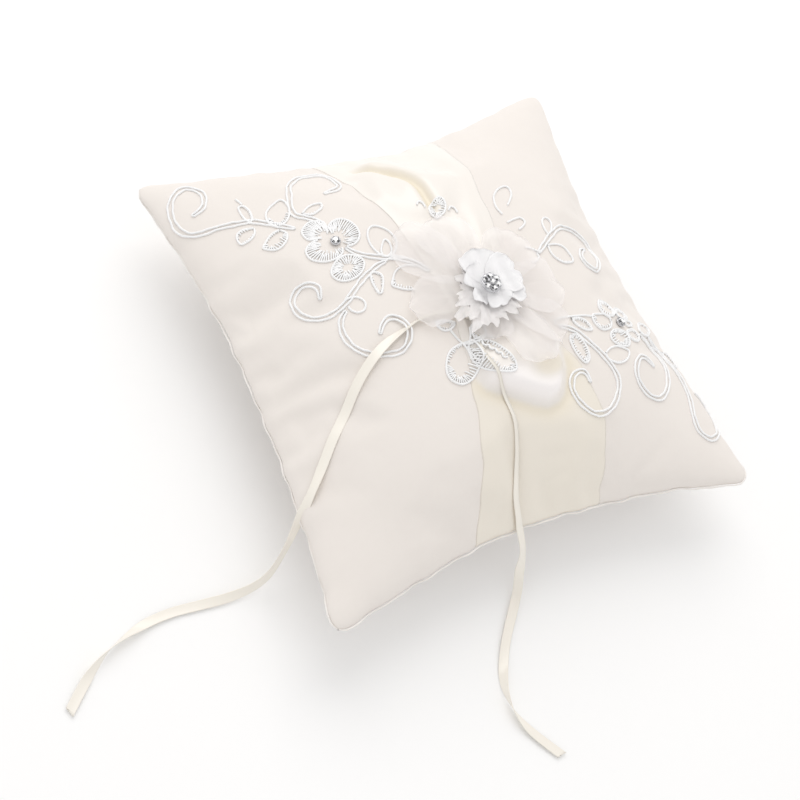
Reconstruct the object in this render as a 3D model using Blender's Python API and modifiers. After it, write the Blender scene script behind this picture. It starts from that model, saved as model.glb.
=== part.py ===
# Ring bearer pillow, lying on its back: two sewn covers round a fibre filling, a satin band,
# corded lace sprays, an organza flower with a crystal cluster, and two loose satin ribbons.
# Metres, +Z up. The origin is the middle of the flat patch that the back rests on.
# Run with: blender --background --python part.py

import math

import bmesh
import bpy
from mathutils import Vector

MM = 0.001

# pillow
SIDE = 200 * MM                # corner to corner along one side
DRAWN_SIDE = 200 * MM          # the side that the band and the lace are drawn for
PLAN = MM * SIDE / DRAWN_SIDE  # a millimetre of that drawing
EDGE_PULL = 9.5 * MM           # how far the stuffing pulls the middle of each side in
FRONT_CROWN = 34 * MM          # rise of the front above the seam
BACK_CROWN = 33 * MM           # drop of the back below the seam, before the table flattens it
SEAM_HEIGHT = 30 * MM          # height of the seam above the table
FULLNESS = 0.58                # 0.5 is a round section, 1.0 a sharp-edged lens
COVER_WALL = 0.8 * MM
GAP = 0.3 * MM                 # left between pieces that touch
COVER_LIP = 0.2 * MM            # least height of a cover's edge
COVER_GRID = 16                # faces along each side of a cover

# satin band, drawn as (y, left edge x, right edge x)
BAND_EDGES = ((89, -23, 35.5), (62, -20, 31.5), (40, -16, 27), (15, -14, 22), (0, -13, 20),
              (-20, -15.5, 24), (-40, -20, 33), (-60, -24.5, 35), (-75, -29, 30.5), (-88, -32.5, 25.5))
BAND_WALL = 0.6 * MM
BAND_END = 0.985               # share of the way from the middle to the seam
BAND_ROWS = 18
BAND_COLUMNS = 8
BAND_MARGIN = 3.5 * MM         # what lies on the band clears its edge by this much

# lace
LACE_CORD = 1.4 * MM
LACE_PLATE = 0.5 * MM
LACE_STEP = 3.0 * MM           # between the points of a cord
LEAF_SIDES = 14
BLOOM_SIDES = 40
BLOOM_EYE = 3.2 * MM

# ribbons
RIBBON_WIDTH = 4.0 * MM
RIBBON_WALL = 0.4 * MM
RIBBON_STEP = 9.0 * MM
TACK_LENGTH = 5.0 * MM
TACK_WIDTH = 4.0 * MM
TACK_HEIGHT = 0.8 * MM

# flower and stones
FLOWER_X = 2 * MM
FLOWER_Y = 0.0
PETAL_WALL = 0.3 * MM
PETAL_ROOT = 4.5 * MM          # width of a petal where it is tied
PETAL_ROWS = 6
PETAL_COLUMNS = 4
BLOOM_WALL = 0.4 * MM
UPPER_BLOOM_REACH = 13 * MM
LOWER_BLOOM_REACH = 15.5 * MM
BLOOM_CUP = 2.0 * MM           # rise of the rim of the upper bloom
BACKING_RADIUS = 4.0 * MM
BLOOM_DIP = 0.4 * MM           # room under the cluster for the cupped bloom
CLUSTER_STONE = 1.2 * MM       # radius
CLUSTER_HEIGHT = 2.4 * MM
SINGLE_STONE = 1.65 * MM       # radius
SINGLE_HEIGHT = 1.8 * MM
CUP_WALL = 0.4 * MM
STONE_GAP = 0.35 * MM          # between the stones of the cluster
TURN_STEPS = 16
STONE_STEPS = 8

# stones in their cups
CLUSTER_RING = 2 * CLUSTER_STONE + STONE_GAP
CLUSTER_RADIUS = CLUSTER_RING + CLUSTER_STONE + GAP + CUP_WALL
SINGLE_RADIUS = SINGLE_STONE + GAP + CUP_WALL

# heights above the front cover
BAND_TOP = GAP + BAND_WALL
RIBBON_TOP = BAND_TOP + GAP + RIBBON_WALL
CENTRE_LACE = RIBBON_TOP + GAP
PETAL_BASE = CENTRE_LACE + LACE_CORD + GAP
PETAL_STEP = PETAL_WALL + GAP + 0.05 * MM

HALF = SIDE / 2

WHITE = (0.93, 0.92, 0.90)
IVORY = (0.83, 0.79, 0.74)
CREAM = (0.86, 0.81, 0.73)
SILVER = (0.72, 0.72, 0.74)
CRYSTAL = (0.93, 0.95, 0.98)

# lace cords as drawn on the front, as (x, y) or (x, y, extra height)
LACE_CORDS = {
    "lace_left_stem_outer": (
        (-86, 77.5), (-80, 80), (-77, 87), (-82, 92), (-88, 91), (-93, 87), (-95.5, 81), (-95, 75),
        (-92, 70.5), (-87, 68.5), (-80, 68), (-72, 66.5), (-67, 65), (-62, 61), (-58, 57.5), (-56, 55.5)),
    "lace_left_scroll_upper": (
        (-43, 55), (-47.5, 57.8), (-51, 60.5), (-50.5, 65), (-48, 70.5), (-45, 76), (-40, 79.5),
        (-35, 81), (-30, 80.5), (-26.5, 78), (-24.8, 74.5), (-25.5, 70), (-29, 67), (-35, 65.5)),
    "lace_left_stem_inner": (
        (-40.5, 37.5), (-38, 34), (-34, 31), (-28, 28), (-23, 26), (-18, 22), (-14, 17)),
    "lace_left_branch": (
        (-29, 25.3), (-33, 25.2), (-40, 22.5), (-46, 18.7), (-51, 15.2), (-58, 13), (-64, 15),
        (-68, 20), (-68.5, 25), (-65, 29), (-61, 29), (-58, 26), (-59, 21)),
    "lace_left_scroll_lower": (
        (-52.5, 12), (-55.5, 8.5), (-57, 3), (-56, -3), (-52, -8), (-46, -10.5), (-40, -11),
        (-35, -8, 0.4), (-32.5, -3, 0.8), (-35, 2, 0.4), (-39, 3.5), (-43, 1.5), (-44.5, -1)),
    "lace_right_branch": (
        (33, 11), (37, 14.5), (40, 13.7), (45, 17), (49, 19.5), (55, 22.5), (60, 23.5), (66, 23),
        (71, 20), (74, 15), (73, 8), (69, 3), (65, 1.5), (61, 4), (60, 8), (62.5, 11), (66, 12)),
    "lace_right_scroll_inner": (
        (31, -20), (36, -24), (40, -28), (44, -35), (47, -41), (48, -47), (46, -52), (41, -57),
        (35, -59), (29, -57.5), (24.5, -52.5), (23.5, -47), (26, -42.3), (30, -40.8), (33, -42),
        (33.5, -46)),
    "lace_right_scroll_outer": (
        (73.5, -31.5), (76.5, -33.5), (78.5, -37.5), (79.5, -43), (78, -50), (74, -56), (68, -59),
        (62, -56.5), (59, -50.5), (60, -45), (64, -41), (68, -41.5), (71, -45.5)),
    "lace_corner_scroll": (
        (80, -31), (84, -38), (85.5, -46), (86, -54), (85, -62), (84.5, -70), (86, -76.5),
        (90, -78.5), (93.5, -75), (93, -69), (89.5, -66.5)),
}

# lace leaves as drawn on the front: base, tip and width
LACE_LEAVES = {
    "lace_left_bud": ((-68.5, 68), (-67, 78.5), 5),
    "lace_left_leaf_upper": ((-60, 61.7), (-52.8, 71.5), 7.5),
    "lace_left_leaf_small": ((-68.5, 63.3), (-75.5, 57.5), 5.5),
    "lace_left_leaf_lower": ((-60, 57), (-69, 49.5), 8),
    "lace_left_leaf_inner": ((-48.2, 60.8), (-38, 62.5), 4.5),
    "lace_left_oval": ((-39, 31.3), (-50, 27.5), 9.5),
    "lace_left_leaf_open": ((-24.5, 28.5), (-27, 43.5), 10),
    "lace_left_drop": ((-36.3, 22.3), (-37, 14), 5),
    "lace_left_leaf_half": ((-25.5, 22.5), (-31, 14), 8),
    "lace_top_petal": ((7, 39.5), (3, 48), 7),
    "lace_right_leaf_upper": ((33, 36), (44, 48), 7),
    "lace_right_bud": ((32, 26), (39, 31), 4.5),
    "lace_right_leaf_small": ((49.3, 22), (53, 29.5), 4.5),
    "lace_right_leaf_middle": ((45.5, 14.3), (54.5, 7), 8.5),
    "lace_right_leaf_inner": ((39.5, -22.5), (47.5, -20), 5),
    "lace_right_leaf_stitched": ((35.6, -27), (31.5, -38), 8),
    "lace_right_oval": ((48.5, -35), (58.5, -39.5), 7.5),
}

# lace at the middle, over the ribbons
CENTRE_LEAVES = {
    "lace_centre_leaf_left": ((-14.5, -18), (-26, -31), 12),
    "lace_centre_leaf_right": ((-8.3, -18), (3, -33), 10),
}
CENTRE_STEM = ((-15, -11), (-13.5, -14), (-12, -19), (-11, -23), (-10, -27))

# lace flowers: middle, then lobes as (dx, dy, radius)
LACE_BLOOMS = {
    "lace_flower_left": ((-43, 42), ((6, 5, 6), (-7, -1, 7), (-6, 8.5, 4.6))),
    "lace_flower_right": ((62, -24), ((-3, 7, 4.5), (7, 4, 4.5), (-8, 2, 4.5), (-4, -6, 4.5), (5, -6, 4.5))),
}

# organza petals, as the tip in millimetres from the pillow's middle, and the width
ORGANZA_PETALS = (((14, -37), 22), ((35, -27), 20), ((50, -10), 24), ((37, 26), 20),
                  ((-3, 43), 20), ((-22, 33), 20), ((-40, 8), 20))

# ribbon routes in millimetres: over the front as (x, y, height of the middle above the cover),
# then free as (x, y, z, turn), where turn is how far the ribbon has rolled from lying flat
LEFT_OVER = ((-11, -4.2, 1.4), (-17, -2.6, 1.4), (-24, -2, 1.3), (-30, -2.6, 0.7), (-35, -4, 0.7),
             (-43, -6.5, 1.6), (-50, -10, 2.2), (-56, -14, 2.0), (-62, -19, 1.2), (-69, -26, 0.7),
             (-76, -33, 0.8), (-83, -41, 1.1), (-89, -48.5, 1.3))
LEFT_FREE = ((-96.5, -55.5, 28.5, 35), (-100.5, -60, 22, 55), (-103.5, -63, 13, 65), (-107.5, -65.5, 6, 55),
             (-114, -67, 2.6, 30), (-124, -67.2, 1, 5), (-135, -66.2, 0.6, 0), (-147, -65.2, 0.6, 0),
             (-158, -66, 0.9, 10), (-168, -68.5, 1.9, 60), (-176, -71.5, 2.4, 90), (-183, -75.5, 1.9, 130),
             (-189, -80, 0.9, 170), (-198, -88, 0.6, 180))
RIGHT_OVER = ((-8, -10.5, 1.4), (-9.5, -17, 1.4), (-11, -24, 1.4), (-9.5, -32, 1.4), (-7.5, -41, 1.5),
              (-7, -51, 1.5), (-8, -61, 1.5), (-10, -71, 1.6), (-12, -79, 1.8),
              (-12, -86, 2.2), (-11.5, -89.5, 2.4))
RIGHT_FREE = ((-10.5, -93.5, 27, 0), (-8.5, -96, 19, 15), (-7.5, -99.5, 10, 30), (-8.5, -105, 3.6, 30),
              (-14, -112.5, 1.5, 12), (-21, -121, 0.7, 0), (-27, -129.5, 0.8, 10), (-31, -136.5, 1.7, 50),
              (-33, -143.5, 2.4, 90), (-32.5, -151, 1.7, 130), (-29, -160, 0.8, 170),
              (-21.5, -172.5, 0.6, 180))


# ---- the front of the pillow, as a surface -------------------------------------------------

def plan_point(u, v, half):
    """Plan position of a point whose shares of the way to the sides are u and v."""
    return ((half - EDGE_PULL * (1 - v * v)) * u, (half - EDGE_PULL * (1 - u * u)) * v)


def crown(u, v):
    return max((1 - u * u) * (1 - v * v), 0.0) ** FULLNESS


def shares(x, y):
    """The u and v of a plan position, found by repeated correction."""
    u, v = x / HALF, y / HALF
    for _ in range(12):
        u = max(-1.0, min(1.0, x / (HALF - EDGE_PULL * (1 - v * v))))
        v = max(-1.0, min(1.0, y / (HALF - EDGE_PULL * (1 - u * u))))
    return u, v


def front_point(a, b):
    """A point of the front cover's outer skin, from its two angles."""
    u, v = math.sin(a), math.sin(b)
    x, y = plan_point(u, v, HALF)
    return Vector((x, y, SEAM_HEIGHT + FRONT_CROWN * crown(u, v)))


def front_seat(x, y, lift):
    """The point at a height above the skin over plan position (x, y), and the skin's normal."""
    u, v = shares(x, y)
    a, b = math.asin(u), math.asin(v)
    step = 0.01
    across = front_point(a + step, b) - front_point(a - step, b)
    along = front_point(a, b + step) - front_point(a, b - step)
    normal = across.cross(along).normalized()
    return front_point(a, b) + normal * lift, normal


def smooth_route(points, step):
    """Points about a step apart on a smooth curve through the given ones."""
    route = []
    last = len(points) - 1
    for i in range(last):
        p0 = points[max(i - 1, 0)]
        p1, p2 = points[i], points[i + 1]
        p3 = points[min(i + 2, last)]
        count = max(1, round(math.dist(p1[:3], p2[:3]) / step))
        for k in range(count):
            t = k / count
            route.append(tuple(
                0.5 * (2 * b + (c - a) * t + (2 * a - 5 * b + 4 * c - d) * t * t
                       + (3 * b - a - 3 * c + d) * t ** 3)
                for a, b, c, d in zip(p0, p1, p2, p3)))
    route.append(tuple(points[last]))
    return route


def band_edge(y, column):
    """The band's left (1) or right (2) edge at y."""
    rows = [tuple(value * PLAN for value in row) for row in BAND_EDGES]
    rows.reverse()
    y = max(rows[0][0], min(rows[-1][0], y))
    for low, high in zip(rows, rows[1:]):
        if y <= high[0]:
            t = (y - low[0]) / (high[0] - low[0])
            return low[column] + (high[column] - low[column]) * (3 * t * t - 2 * t ** 3)


def band_cover(x, y):
    """1 over the band, falling to 0 at a margin outside its edges."""
    outside = max(band_edge(y, 1) - x, x - band_edge(y, 2), 0.0)
    return max(0.0, min(1.0, 2 - 2 * outside / BAND_MARGIN))


def lace_seat(x, y, lift):
    """A seat on the front for lace, which climbs onto the band where it crosses it."""
    return front_seat(x, y, lift + BAND_TOP * band_cover(x, y))[0]


# ---- objects -------------------------------------------------------------------------------

def clear_scene():
    for obj in list(bpy.data.objects):
        bpy.data.objects.remove(obj, do_unlink=True)


def new_collection(name):
    collection = bpy.data.collections.new(name)
    bpy.context.scene.collection.children.link(collection)
    return collection


def material(name, colour, roughness, metallic=0.0):
    mat = bpy.data.materials.new(name)
    mat.use_nodes = True
    shader = mat.node_tree.nodes["Principled BSDF"]
    shader.inputs["Base Color"].default_value = (*colour, 1)
    shader.inputs["Roughness"].default_value = roughness
    shader.inputs["Metallic"].default_value = metallic
    return mat


def place(name, data, collection, look):
    """Link an object with its own material; look is (colour, roughness) or with a metallic value."""
    obj = bpy.data.objects.new(name, data)
    data.materials.append(material(name + "_finish", *look))
    collection.objects.link(obj)
    return obj


def mesh_from(bm, name):
    mesh = bpy.data.meshes.new(name)
    bm.to_mesh(mesh)
    bm.free()
    mesh.shade_smooth()
    mesh.set_sharp_from_angle(angle=math.radians(40))
    return mesh


def closed_mesh(bm, name):
    bmesh.ops.recalc_face_normals(bm, faces=bm.faces)
    return mesh_from(bm, name)


def sheet_mesh(bm, name):
    """An open sheet that faces up, so that its wall grows away from the pillow."""
    bm.normal_update()
    if sum(face.normal.z for face in bm.faces) < 0:
        bmesh.ops.reverse_faces(bm, faces=bm.faces)
    return mesh_from(bm, name)


def solidify(obj, wall):
    mod = obj.modifiers.new("wall", "SOLIDIFY")
    mod.thickness = wall
    mod.offset = 1
    return obj


# ---- pillow --------------------------------------------------------------------------------

def dome(bm, half, rise, lip, floor=None):
    """A crowned square grid over the seam, no nearer to it than the lip; a negative rise is a back."""
    grid = bmesh.ops.create_grid(bm, x_segments=COVER_GRID, y_segments=COVER_GRID, size=1)
    faces = {face for vert in grid["verts"] for face in vert.link_faces}
    for face in faces:
        corners = sorted(face.verts, key=lambda vert: (round(vert.co.length, 6), vert.index))
        bmesh.utils.face_split(face, corners[0], corners[-1])
    for vert in grid["verts"]:
        u = math.sin(vert.co.x * math.pi / 2)
        v = math.sin(vert.co.y * math.pi / 2)
        x, y = plan_point(u, v, half)
        z = SEAM_HEIGHT + rise * crown(u, v)
        z = max(z, lip) if rise > 0 else min(z, lip)
        if floor is not None:
            z = max(z, floor)
        vert.co = (x, y, z)


def half_pillow(name, half, rise, lip, base, floor=None):
    """A dome closed by a flat base at the seam."""
    bm = bmesh.new()
    dome(bm, half, rise, lip, floor)
    rim = [edge for edge in bm.edges if edge.is_boundary]
    wall = bmesh.ops.extrude_edge_only(bm, edges=rim)
    ring = [item for item in wall["geom"] if isinstance(item, bmesh.types.BMVert)]
    for vert in ring:
        vert.co.z = base
    edges = [edge for edge in bm.edges if edge.is_boundary]
    bmesh.ops.contextual_create(bm, geom=edges)
    return closed_mesh(bm, name)


def add_cover(name, rise, parts, cutters, floor=None):
    """A cover: its half pillow with a smaller one cut out, open at the seam."""
    side = math.copysign(1, rise)
    rim = SEAM_HEIGHT + side * GAP / 2
    lip = rim + side * COVER_LIP
    cover = place(name, half_pillow(name, HALF, rise, lip, rim, floor), parts, (IVORY, 0.8))
    inner = None if floor is None else floor + COVER_WALL
    hollow_mesh = half_pillow(name + "_hollow", HALF - COVER_WALL, rise - side * COVER_WALL,
                              SEAM_HEIGHT, rim - side * COVER_WALL, inner)
    hollow = place(name + "_hollow", hollow_mesh, cutters, (IVORY, 0.8))
    hollow.hide_render = True
    hollow.display_type = "WIRE"
    cut = cover.modifiers.new("hollow", "BOOLEAN")
    cut.operation = "DIFFERENCE"
    cut.solver = "EXACT"
    cut.object = hollow


def add_filling(parts):
    inset = COVER_WALL + GAP
    bm = bmesh.new()
    dome(bm, HALF - inset, FRONT_CROWN - inset, SEAM_HEIGHT)
    dome(bm, HALF - inset, inset - BACK_CROWN, SEAM_HEIGHT, inset)
    bmesh.ops.remove_doubles(bm, verts=bm.verts, dist=0.01 * MM)
    place("fibre_filling", closed_mesh(bm, "fibre_filling"), parts, (WHITE, 0.95))


def add_band(parts):
    """The satin sash over the front, drawn in under the flower."""
    bm = bmesh.new()
    grid = bmesh.ops.create_grid(bm, x_segments=BAND_COLUMNS, y_segments=BAND_ROWS, size=1)
    for vert in grid["verts"]:
        s, t = (vert.co.x + 1) / 2, vert.co.y * BAND_END
        v = math.sin(t * math.pi / 2)
        y = v * (HALF - EDGE_PULL)
        x = band_edge(y, 1) + (band_edge(y, 2) - band_edge(y, 1)) * s
        for _ in range(4):
            u, _v = shares(x, y)
            y = v * (HALF - EDGE_PULL * (1 - u * u))
        vert.co = front_seat(x, y, GAP)[0]
    band = place("satin_band", sheet_mesh(bm, "satin_band"), parts, (CREAM, 0.35))
    solidify(band, BAND_WALL)


# ---- lace ----------------------------------------------------------------------------------

def tube(name, route, radius, parts, look, resolution=1):
    curve = bpy.data.curves.new(name, "CURVE")
    curve.dimensions = "3D"
    curve.bevel_depth = radius
    curve.bevel_resolution = resolution
    curve.use_fill_caps = True
    spline = curve.splines.new("POLY")
    spline.points.add(len(route) - 1)
    for point, position in zip(spline.points, route):
        point.co = (*position, 1)
    return place(name, curve, parts, look)


def add_lace_cord(name, points, parts, base=0.0):
    """A round cord couched on the front, through drawn points."""
    radius = LACE_CORD / 2
    chosen = [(p[0] * PLAN, p[1] * PLAN, (p[2] if len(p) > 2 else 0) * MM) for p in points]
    route = []
    for x, y, extra in smooth_route(chosen, LACE_STEP):
        if base:
            route.append(front_seat(x, y, base + radius)[0])
        else:
            route.append(lace_seat(x, y, GAP + radius + extra))
    tube(name, route, radius, parts, (WHITE, 0.5))


def add_leaf(name, base, tip, width, parts, level=0.0):
    """A stitched leaf lying on the front: a disc drawn out from its base to its tip."""
    base, tip = Vector(base) * PLAN, Vector(tip) * PLAN
    along = tip - base
    across = Vector((-along.y, along.x)).normalized() * width * PLAN / 2
    bm = bmesh.new()
    disc = bmesh.ops.create_circle(bm, cap_ends=True, cap_tris=True, segments=LEAF_SIDES, radius=1)
    for vert in disc["verts"]:
        c, s = vert.co.x, vert.co.y
        spot = base + along * (1 + c) / 2 + across * s * (1 - 0.35 * c)
        if level:
            vert.co = front_seat(spot.x, spot.y, level)[0]
        else:
            vert.co = lace_seat(spot.x, spot.y, GAP)
    leaf = place(name, sheet_mesh(bm, name), parts, (WHITE, 0.5))
    solidify(leaf, LACE_PLATE)


def lobed_reach(angle, lobes, eye):
    """Distance from the middle to the outline of a ring of round lobes."""
    reach = eye
    for dx, dy, radius in lobes:
        distance = math.hypot(dx, dy)
        turn = angle - math.atan2(dy, dx)
        inside = radius ** 2 - (distance * math.sin(turn)) ** 2
        if inside > 0 and math.cos(turn) > 0:
            reach = max(reach, distance * math.cos(turn) + math.sqrt(inside))
    return reach


def add_lace_bloom(name, middle, lobes, parts):
    bm = bmesh.new()
    disc = bmesh.ops.create_circle(bm, cap_ends=True, cap_tris=True, segments=BLOOM_SIDES, radius=1)
    lobes = [tuple(value * PLAN for value in lobe) for lobe in lobes]
    for vert in disc["verts"]:
        share = math.hypot(vert.co.x, vert.co.y)
        angle = math.atan2(vert.co.y, vert.co.x)
        reach = lobed_reach(angle, lobes, BLOOM_EYE) * share
        x = middle[0] * PLAN + reach * math.cos(angle)
        y = middle[1] * PLAN + reach * math.sin(angle)
        vert.co = lace_seat(x, y, GAP)
    bloom = place(name, sheet_mesh(bm, name), parts, (WHITE, 0.5))
    solidify(bloom, LACE_PLATE)


def add_lace(parts):
    for name, points in LACE_CORDS.items():
        add_lace_cord(name, points, parts)
    for name, (base, tip, width) in LACE_LEAVES.items():
        add_leaf(name, base, tip, width, parts)
    for name, (base, tip, width) in CENTRE_LEAVES.items():
        add_leaf(name, base, tip, width, parts, CENTRE_LACE)
    add_lace_cord("lace_centre_stem", CENTRE_STEM, parts, CENTRE_LACE)
    for name, (middle, lobes) in LACE_BLOOMS.items():
        add_lace_bloom(name, middle, lobes, parts)


# ---- flower and stones ---------------------------------------------------------------------

def add_organza_petal(name, tip, width, level, parts):
    """A loose petal from the knot under the flower out to its rounded tip."""
    root = Vector((FLOWER_X, FLOWER_Y))
    along = Vector(tip) * MM - root
    across = Vector((-along.y, along.x)).normalized()
    bm = bmesh.new()
    grid = bmesh.ops.create_grid(bm, x_segments=PETAL_COLUMNS, y_segments=PETAL_ROWS, size=1)
    for vert in grid["verts"]:
        s, t = (vert.co.y + 1) / 2, vert.co.x
        swell = math.sin(math.pi * min(s, 0.92) ** 1.4)
        half_width = PETAL_ROOT / 2 * (1 - s) + width * MM / 2 * swell
        spot = root + along * (s - 0.12 * s * t * t) + across * half_width * t
        vert.co = front_seat(spot.x, spot.y, level)[0]
    petal = place(name, sheet_mesh(bm, name), parts, (WHITE, 0.6))
    solidify(petal, PETAL_WALL)


def add_bloom(name, reach, turn, level, cup, parts):
    """A die-cut layer of five round petals, cupped up towards its rim."""
    bm = bmesh.new()
    disc = bmesh.ops.create_circle(bm, cap_ends=True, cap_tris=True, segments=BLOOM_SIDES, radius=1)
    lobe_radius = reach * 0.42
    lobes = [((reach - lobe_radius) * math.cos(turn + k * math.tau / 5),
              (reach - lobe_radius) * math.sin(turn + k * math.tau / 5), lobe_radius) for k in range(5)]
    for vert in disc["verts"]:
        share = math.hypot(vert.co.x, vert.co.y)
        angle = math.atan2(vert.co.y, vert.co.x)
        out = lobed_reach(angle, lobes, reach * 0.5) * share
        x, y = FLOWER_X + out * math.cos(angle), FLOWER_Y + out * math.sin(angle)
        vert.co = front_seat(x, y, level + cup * (out / reach) ** 2)[0]
    bloom = place(name, sheet_mesh(bm, name), parts, (WHITE, 0.5))
    solidify(bloom, BLOOM_WALL)


def turned(name, profile, steps, parts, look, seat, normal):
    """A profile of (radius, height), run down its outer side, turned about the seat's normal."""
    mesh = bpy.data.meshes.new(name)
    points = [(radius, 0, height) for radius, height in profile]
    mesh.from_pydata(points, [(i, i + 1) for i in range(len(points) - 1)], [])
    obj = place(name, mesh, parts, look)
    obj.location = seat
    obj.rotation_mode = "QUATERNION"
    obj.rotation_quaternion = Vector((0, 0, 1)).rotation_difference(normal)
    screw = obj.modifiers.new("turn", "SCREW")
    screw.steps = steps
    screw.render_steps = steps
    screw.use_merge_vertices = True
    screw.merge_threshold = 0.00001
    return obj


def cup_profile(radius, height):
    """A shallow claw cup, from its inner floor over the rim and down to the base."""
    inner = radius - CUP_WALL
    return ((0, CUP_WALL), (inner, CUP_WALL), (inner, height), (radius, height), (radius, 0), (0, 0))


def stone_profile(radius, base):
    """A cut stone: table, crown, girdle and pavilion."""
    girdle = base + radius * 0.86
    crown_edge = girdle + radius * 0.12
    table = girdle + radius * 0.5
    return ((0, table), (radius * 0.55, table), (radius, crown_edge), (radius, girdle), (0, base))


def offset_seat(seat, normal, dx, dy):
    turn = Vector((0, 0, 1)).rotation_difference(normal)
    return seat + turn @ Vector((dx, dy, 0))


def add_cluster(level, parts):
    seat, normal = front_seat(FLOWER_X, FLOWER_Y, level)
    turned("cluster_cup", cup_profile(CLUSTER_RADIUS, CLUSTER_HEIGHT), TURN_STEPS, parts,
           (SILVER, 0.2, 1.0), seat, normal)
    stone = stone_profile(CLUSTER_STONE, CUP_WALL + GAP)
    spots = [(0, 0)] + [(CLUSTER_RING * math.cos(k * math.tau / 6), CLUSTER_RING * math.sin(k * math.tau / 6))
                        for k in range(6)]
    for number, (dx, dy) in enumerate(spots, 1):
        turned(f"cluster_stone_{number}", stone, STONE_STEPS, parts, (CRYSTAL, 0.05),
               offset_seat(seat, normal, dx, dy), normal)


def add_single_stone(side, middle, parts):
    x, y = middle[0] * PLAN, middle[1] * PLAN
    seat, normal = front_seat(x, y, GAP + LACE_PLATE + GAP + BAND_TOP * band_cover(x, y))
    turned(f"stone_cup_{side}", cup_profile(SINGLE_RADIUS, SINGLE_HEIGHT), TURN_STEPS, parts,
           (SILVER, 0.2, 1.0), seat, normal)
    turned(f"stone_{side}", stone_profile(SINGLE_STONE, CUP_WALL + GAP), STONE_STEPS, parts,
           (CRYSTAL, 0.05), seat, normal)


def add_backing(parts):
    """The felt disc that the petals are sewn to, standing on the band."""
    low, high = BAND_TOP + GAP, PETAL_BASE - GAP
    seat, normal = front_seat(FLOWER_X, FLOWER_Y, low)
    profile = ((0, high - low), (BACKING_RADIUS, high - low), (BACKING_RADIUS, 0), (0, 0))
    turned("flower_backing", profile, TURN_STEPS, parts, (WHITE, 0.9), seat, normal)


def add_flower(parts):
    add_backing(parts)
    for number, (tip, width) in enumerate(ORGANZA_PETALS):
        add_organza_petal(f"organza_petal_{number + 1}", tip, width, PETAL_BASE + number * PETAL_STEP, parts)
    level = PETAL_BASE + len(ORGANZA_PETALS) * PETAL_STEP
    add_bloom("flower_lower_layer", LOWER_BLOOM_REACH, 0.9, level, 0.0, parts)
    level += BLOOM_WALL + GAP
    add_bloom("flower_upper_layer", UPPER_BLOOM_REACH, 0.3, level, BLOOM_CUP, parts)
    level += BLOOM_WALL + BLOOM_DIP + GAP
    add_cluster(level, parts)
    for side, (middle, _lobes) in zip(("left", "right"), LACE_BLOOMS.values()):
        add_single_stone(side, middle, parts)


# ---- ribbons -------------------------------------------------------------------------------

def ribbon_tilt(tangent, normal):
    """The curve tilt that lays the ribbon's flat side across the given normal."""
    level = Vector((0, 0, 1)).cross(tangent).normalized()
    across = normal.cross(tangent).normalized()
    roll = math.atan2(level.cross(across).dot(tangent), level.dot(across))
    return math.pi / 2 + roll


def add_ribbon(name, over, free, parts):
    points = []
    for x, y, lift in over:
        seat, normal = front_seat(x * MM, y * MM, lift * MM)
        points.append((*seat, *normal))
    for x, y, z, turn in free:
        points.append((x * MM, y * MM, z * MM, math.radians(turn)))
    count = len(over)
    spots = [Vector(p[:3]) for p in points]
    rows = []
    for i, spot in enumerate(spots):
        tangent = (spots[min(i + 1, len(spots) - 1)] - spots[max(i - 1, 0)]).normalized()
        if i < count:
            normal = Vector(points[i][3:6])
            tilt = ribbon_tilt(tangent, normal)
        else:
            tilt = math.pi / 2 + points[i][3]
        rows.append((*spot, tilt))
    curve = bpy.data.curves.new(name, "CURVE")
    curve.dimensions = "3D"
    curve.twist_mode = "Z_UP"
    curve.bevel_depth = RIBBON_WALL / 2
    curve.bevel_resolution = 0
    curve.extrude = RIBBON_WIDTH / 2 - RIBBON_WALL / 2
    curve.use_fill_caps = True
    route = smooth_route(rows, RIBBON_STEP)
    spline = curve.splines.new("POLY")
    spline.points.add(len(route) - 1)
    for point, (x, y, z, tilt) in zip(spline.points, route):
        point.co = (x, y, z, 1)
        point.tilt = tilt
    place(name, curve, parts, (CREAM, 0.3))


def add_tack(parts):
    """The stitched fold that both ribbons come out of, on the band under the flower."""
    bm = bmesh.new()
    bmesh.ops.create_cube(bm, size=1)
    bmesh.ops.scale(bm, vec=(TACK_LENGTH, TACK_WIDTH, TACK_HEIGHT), verts=bm.verts)
    tack = place("ribbon_tack", closed_mesh(bm, "ribbon_tack"), parts, (CREAM, 0.4))
    seat, normal = front_seat(-7.5 * MM, -6 * MM, BAND_TOP + 2 * GAP + TACK_HEIGHT / 2)
    tack.location = seat
    tack.rotation_mode = "QUATERNION"
    tack.rotation_quaternion = Vector((0, 0, 1)).rotation_difference(normal)
    round_off = tack.modifiers.new("rounding", "BEVEL")
    round_off.width = TACK_HEIGHT / 4
    round_off.segments = 2


def build():
    clear_scene()
    parts = new_collection("ring_bearer_pillow")
    cutters = new_collection("cutters")
    add_cover("front_cover", FRONT_CROWN, parts, cutters)
    add_cover("back_cover", -BACK_CROWN, parts, cutters, 0.0)
    add_filling(parts)
    add_band(parts)
    add_lace(parts)
    add_flower(parts)
    add_ribbon("ribbon_left", LEFT_OVER, LEFT_FREE, parts)
    add_ribbon("ribbon_right", RIGHT_OVER, RIGHT_FREE, parts)
    add_tack(parts)


build()
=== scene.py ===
import math

import bmesh
import bpy
import numpy as np
from mathutils import Matrix, Vector
from mathutils.bvhtree import BVHTree


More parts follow.
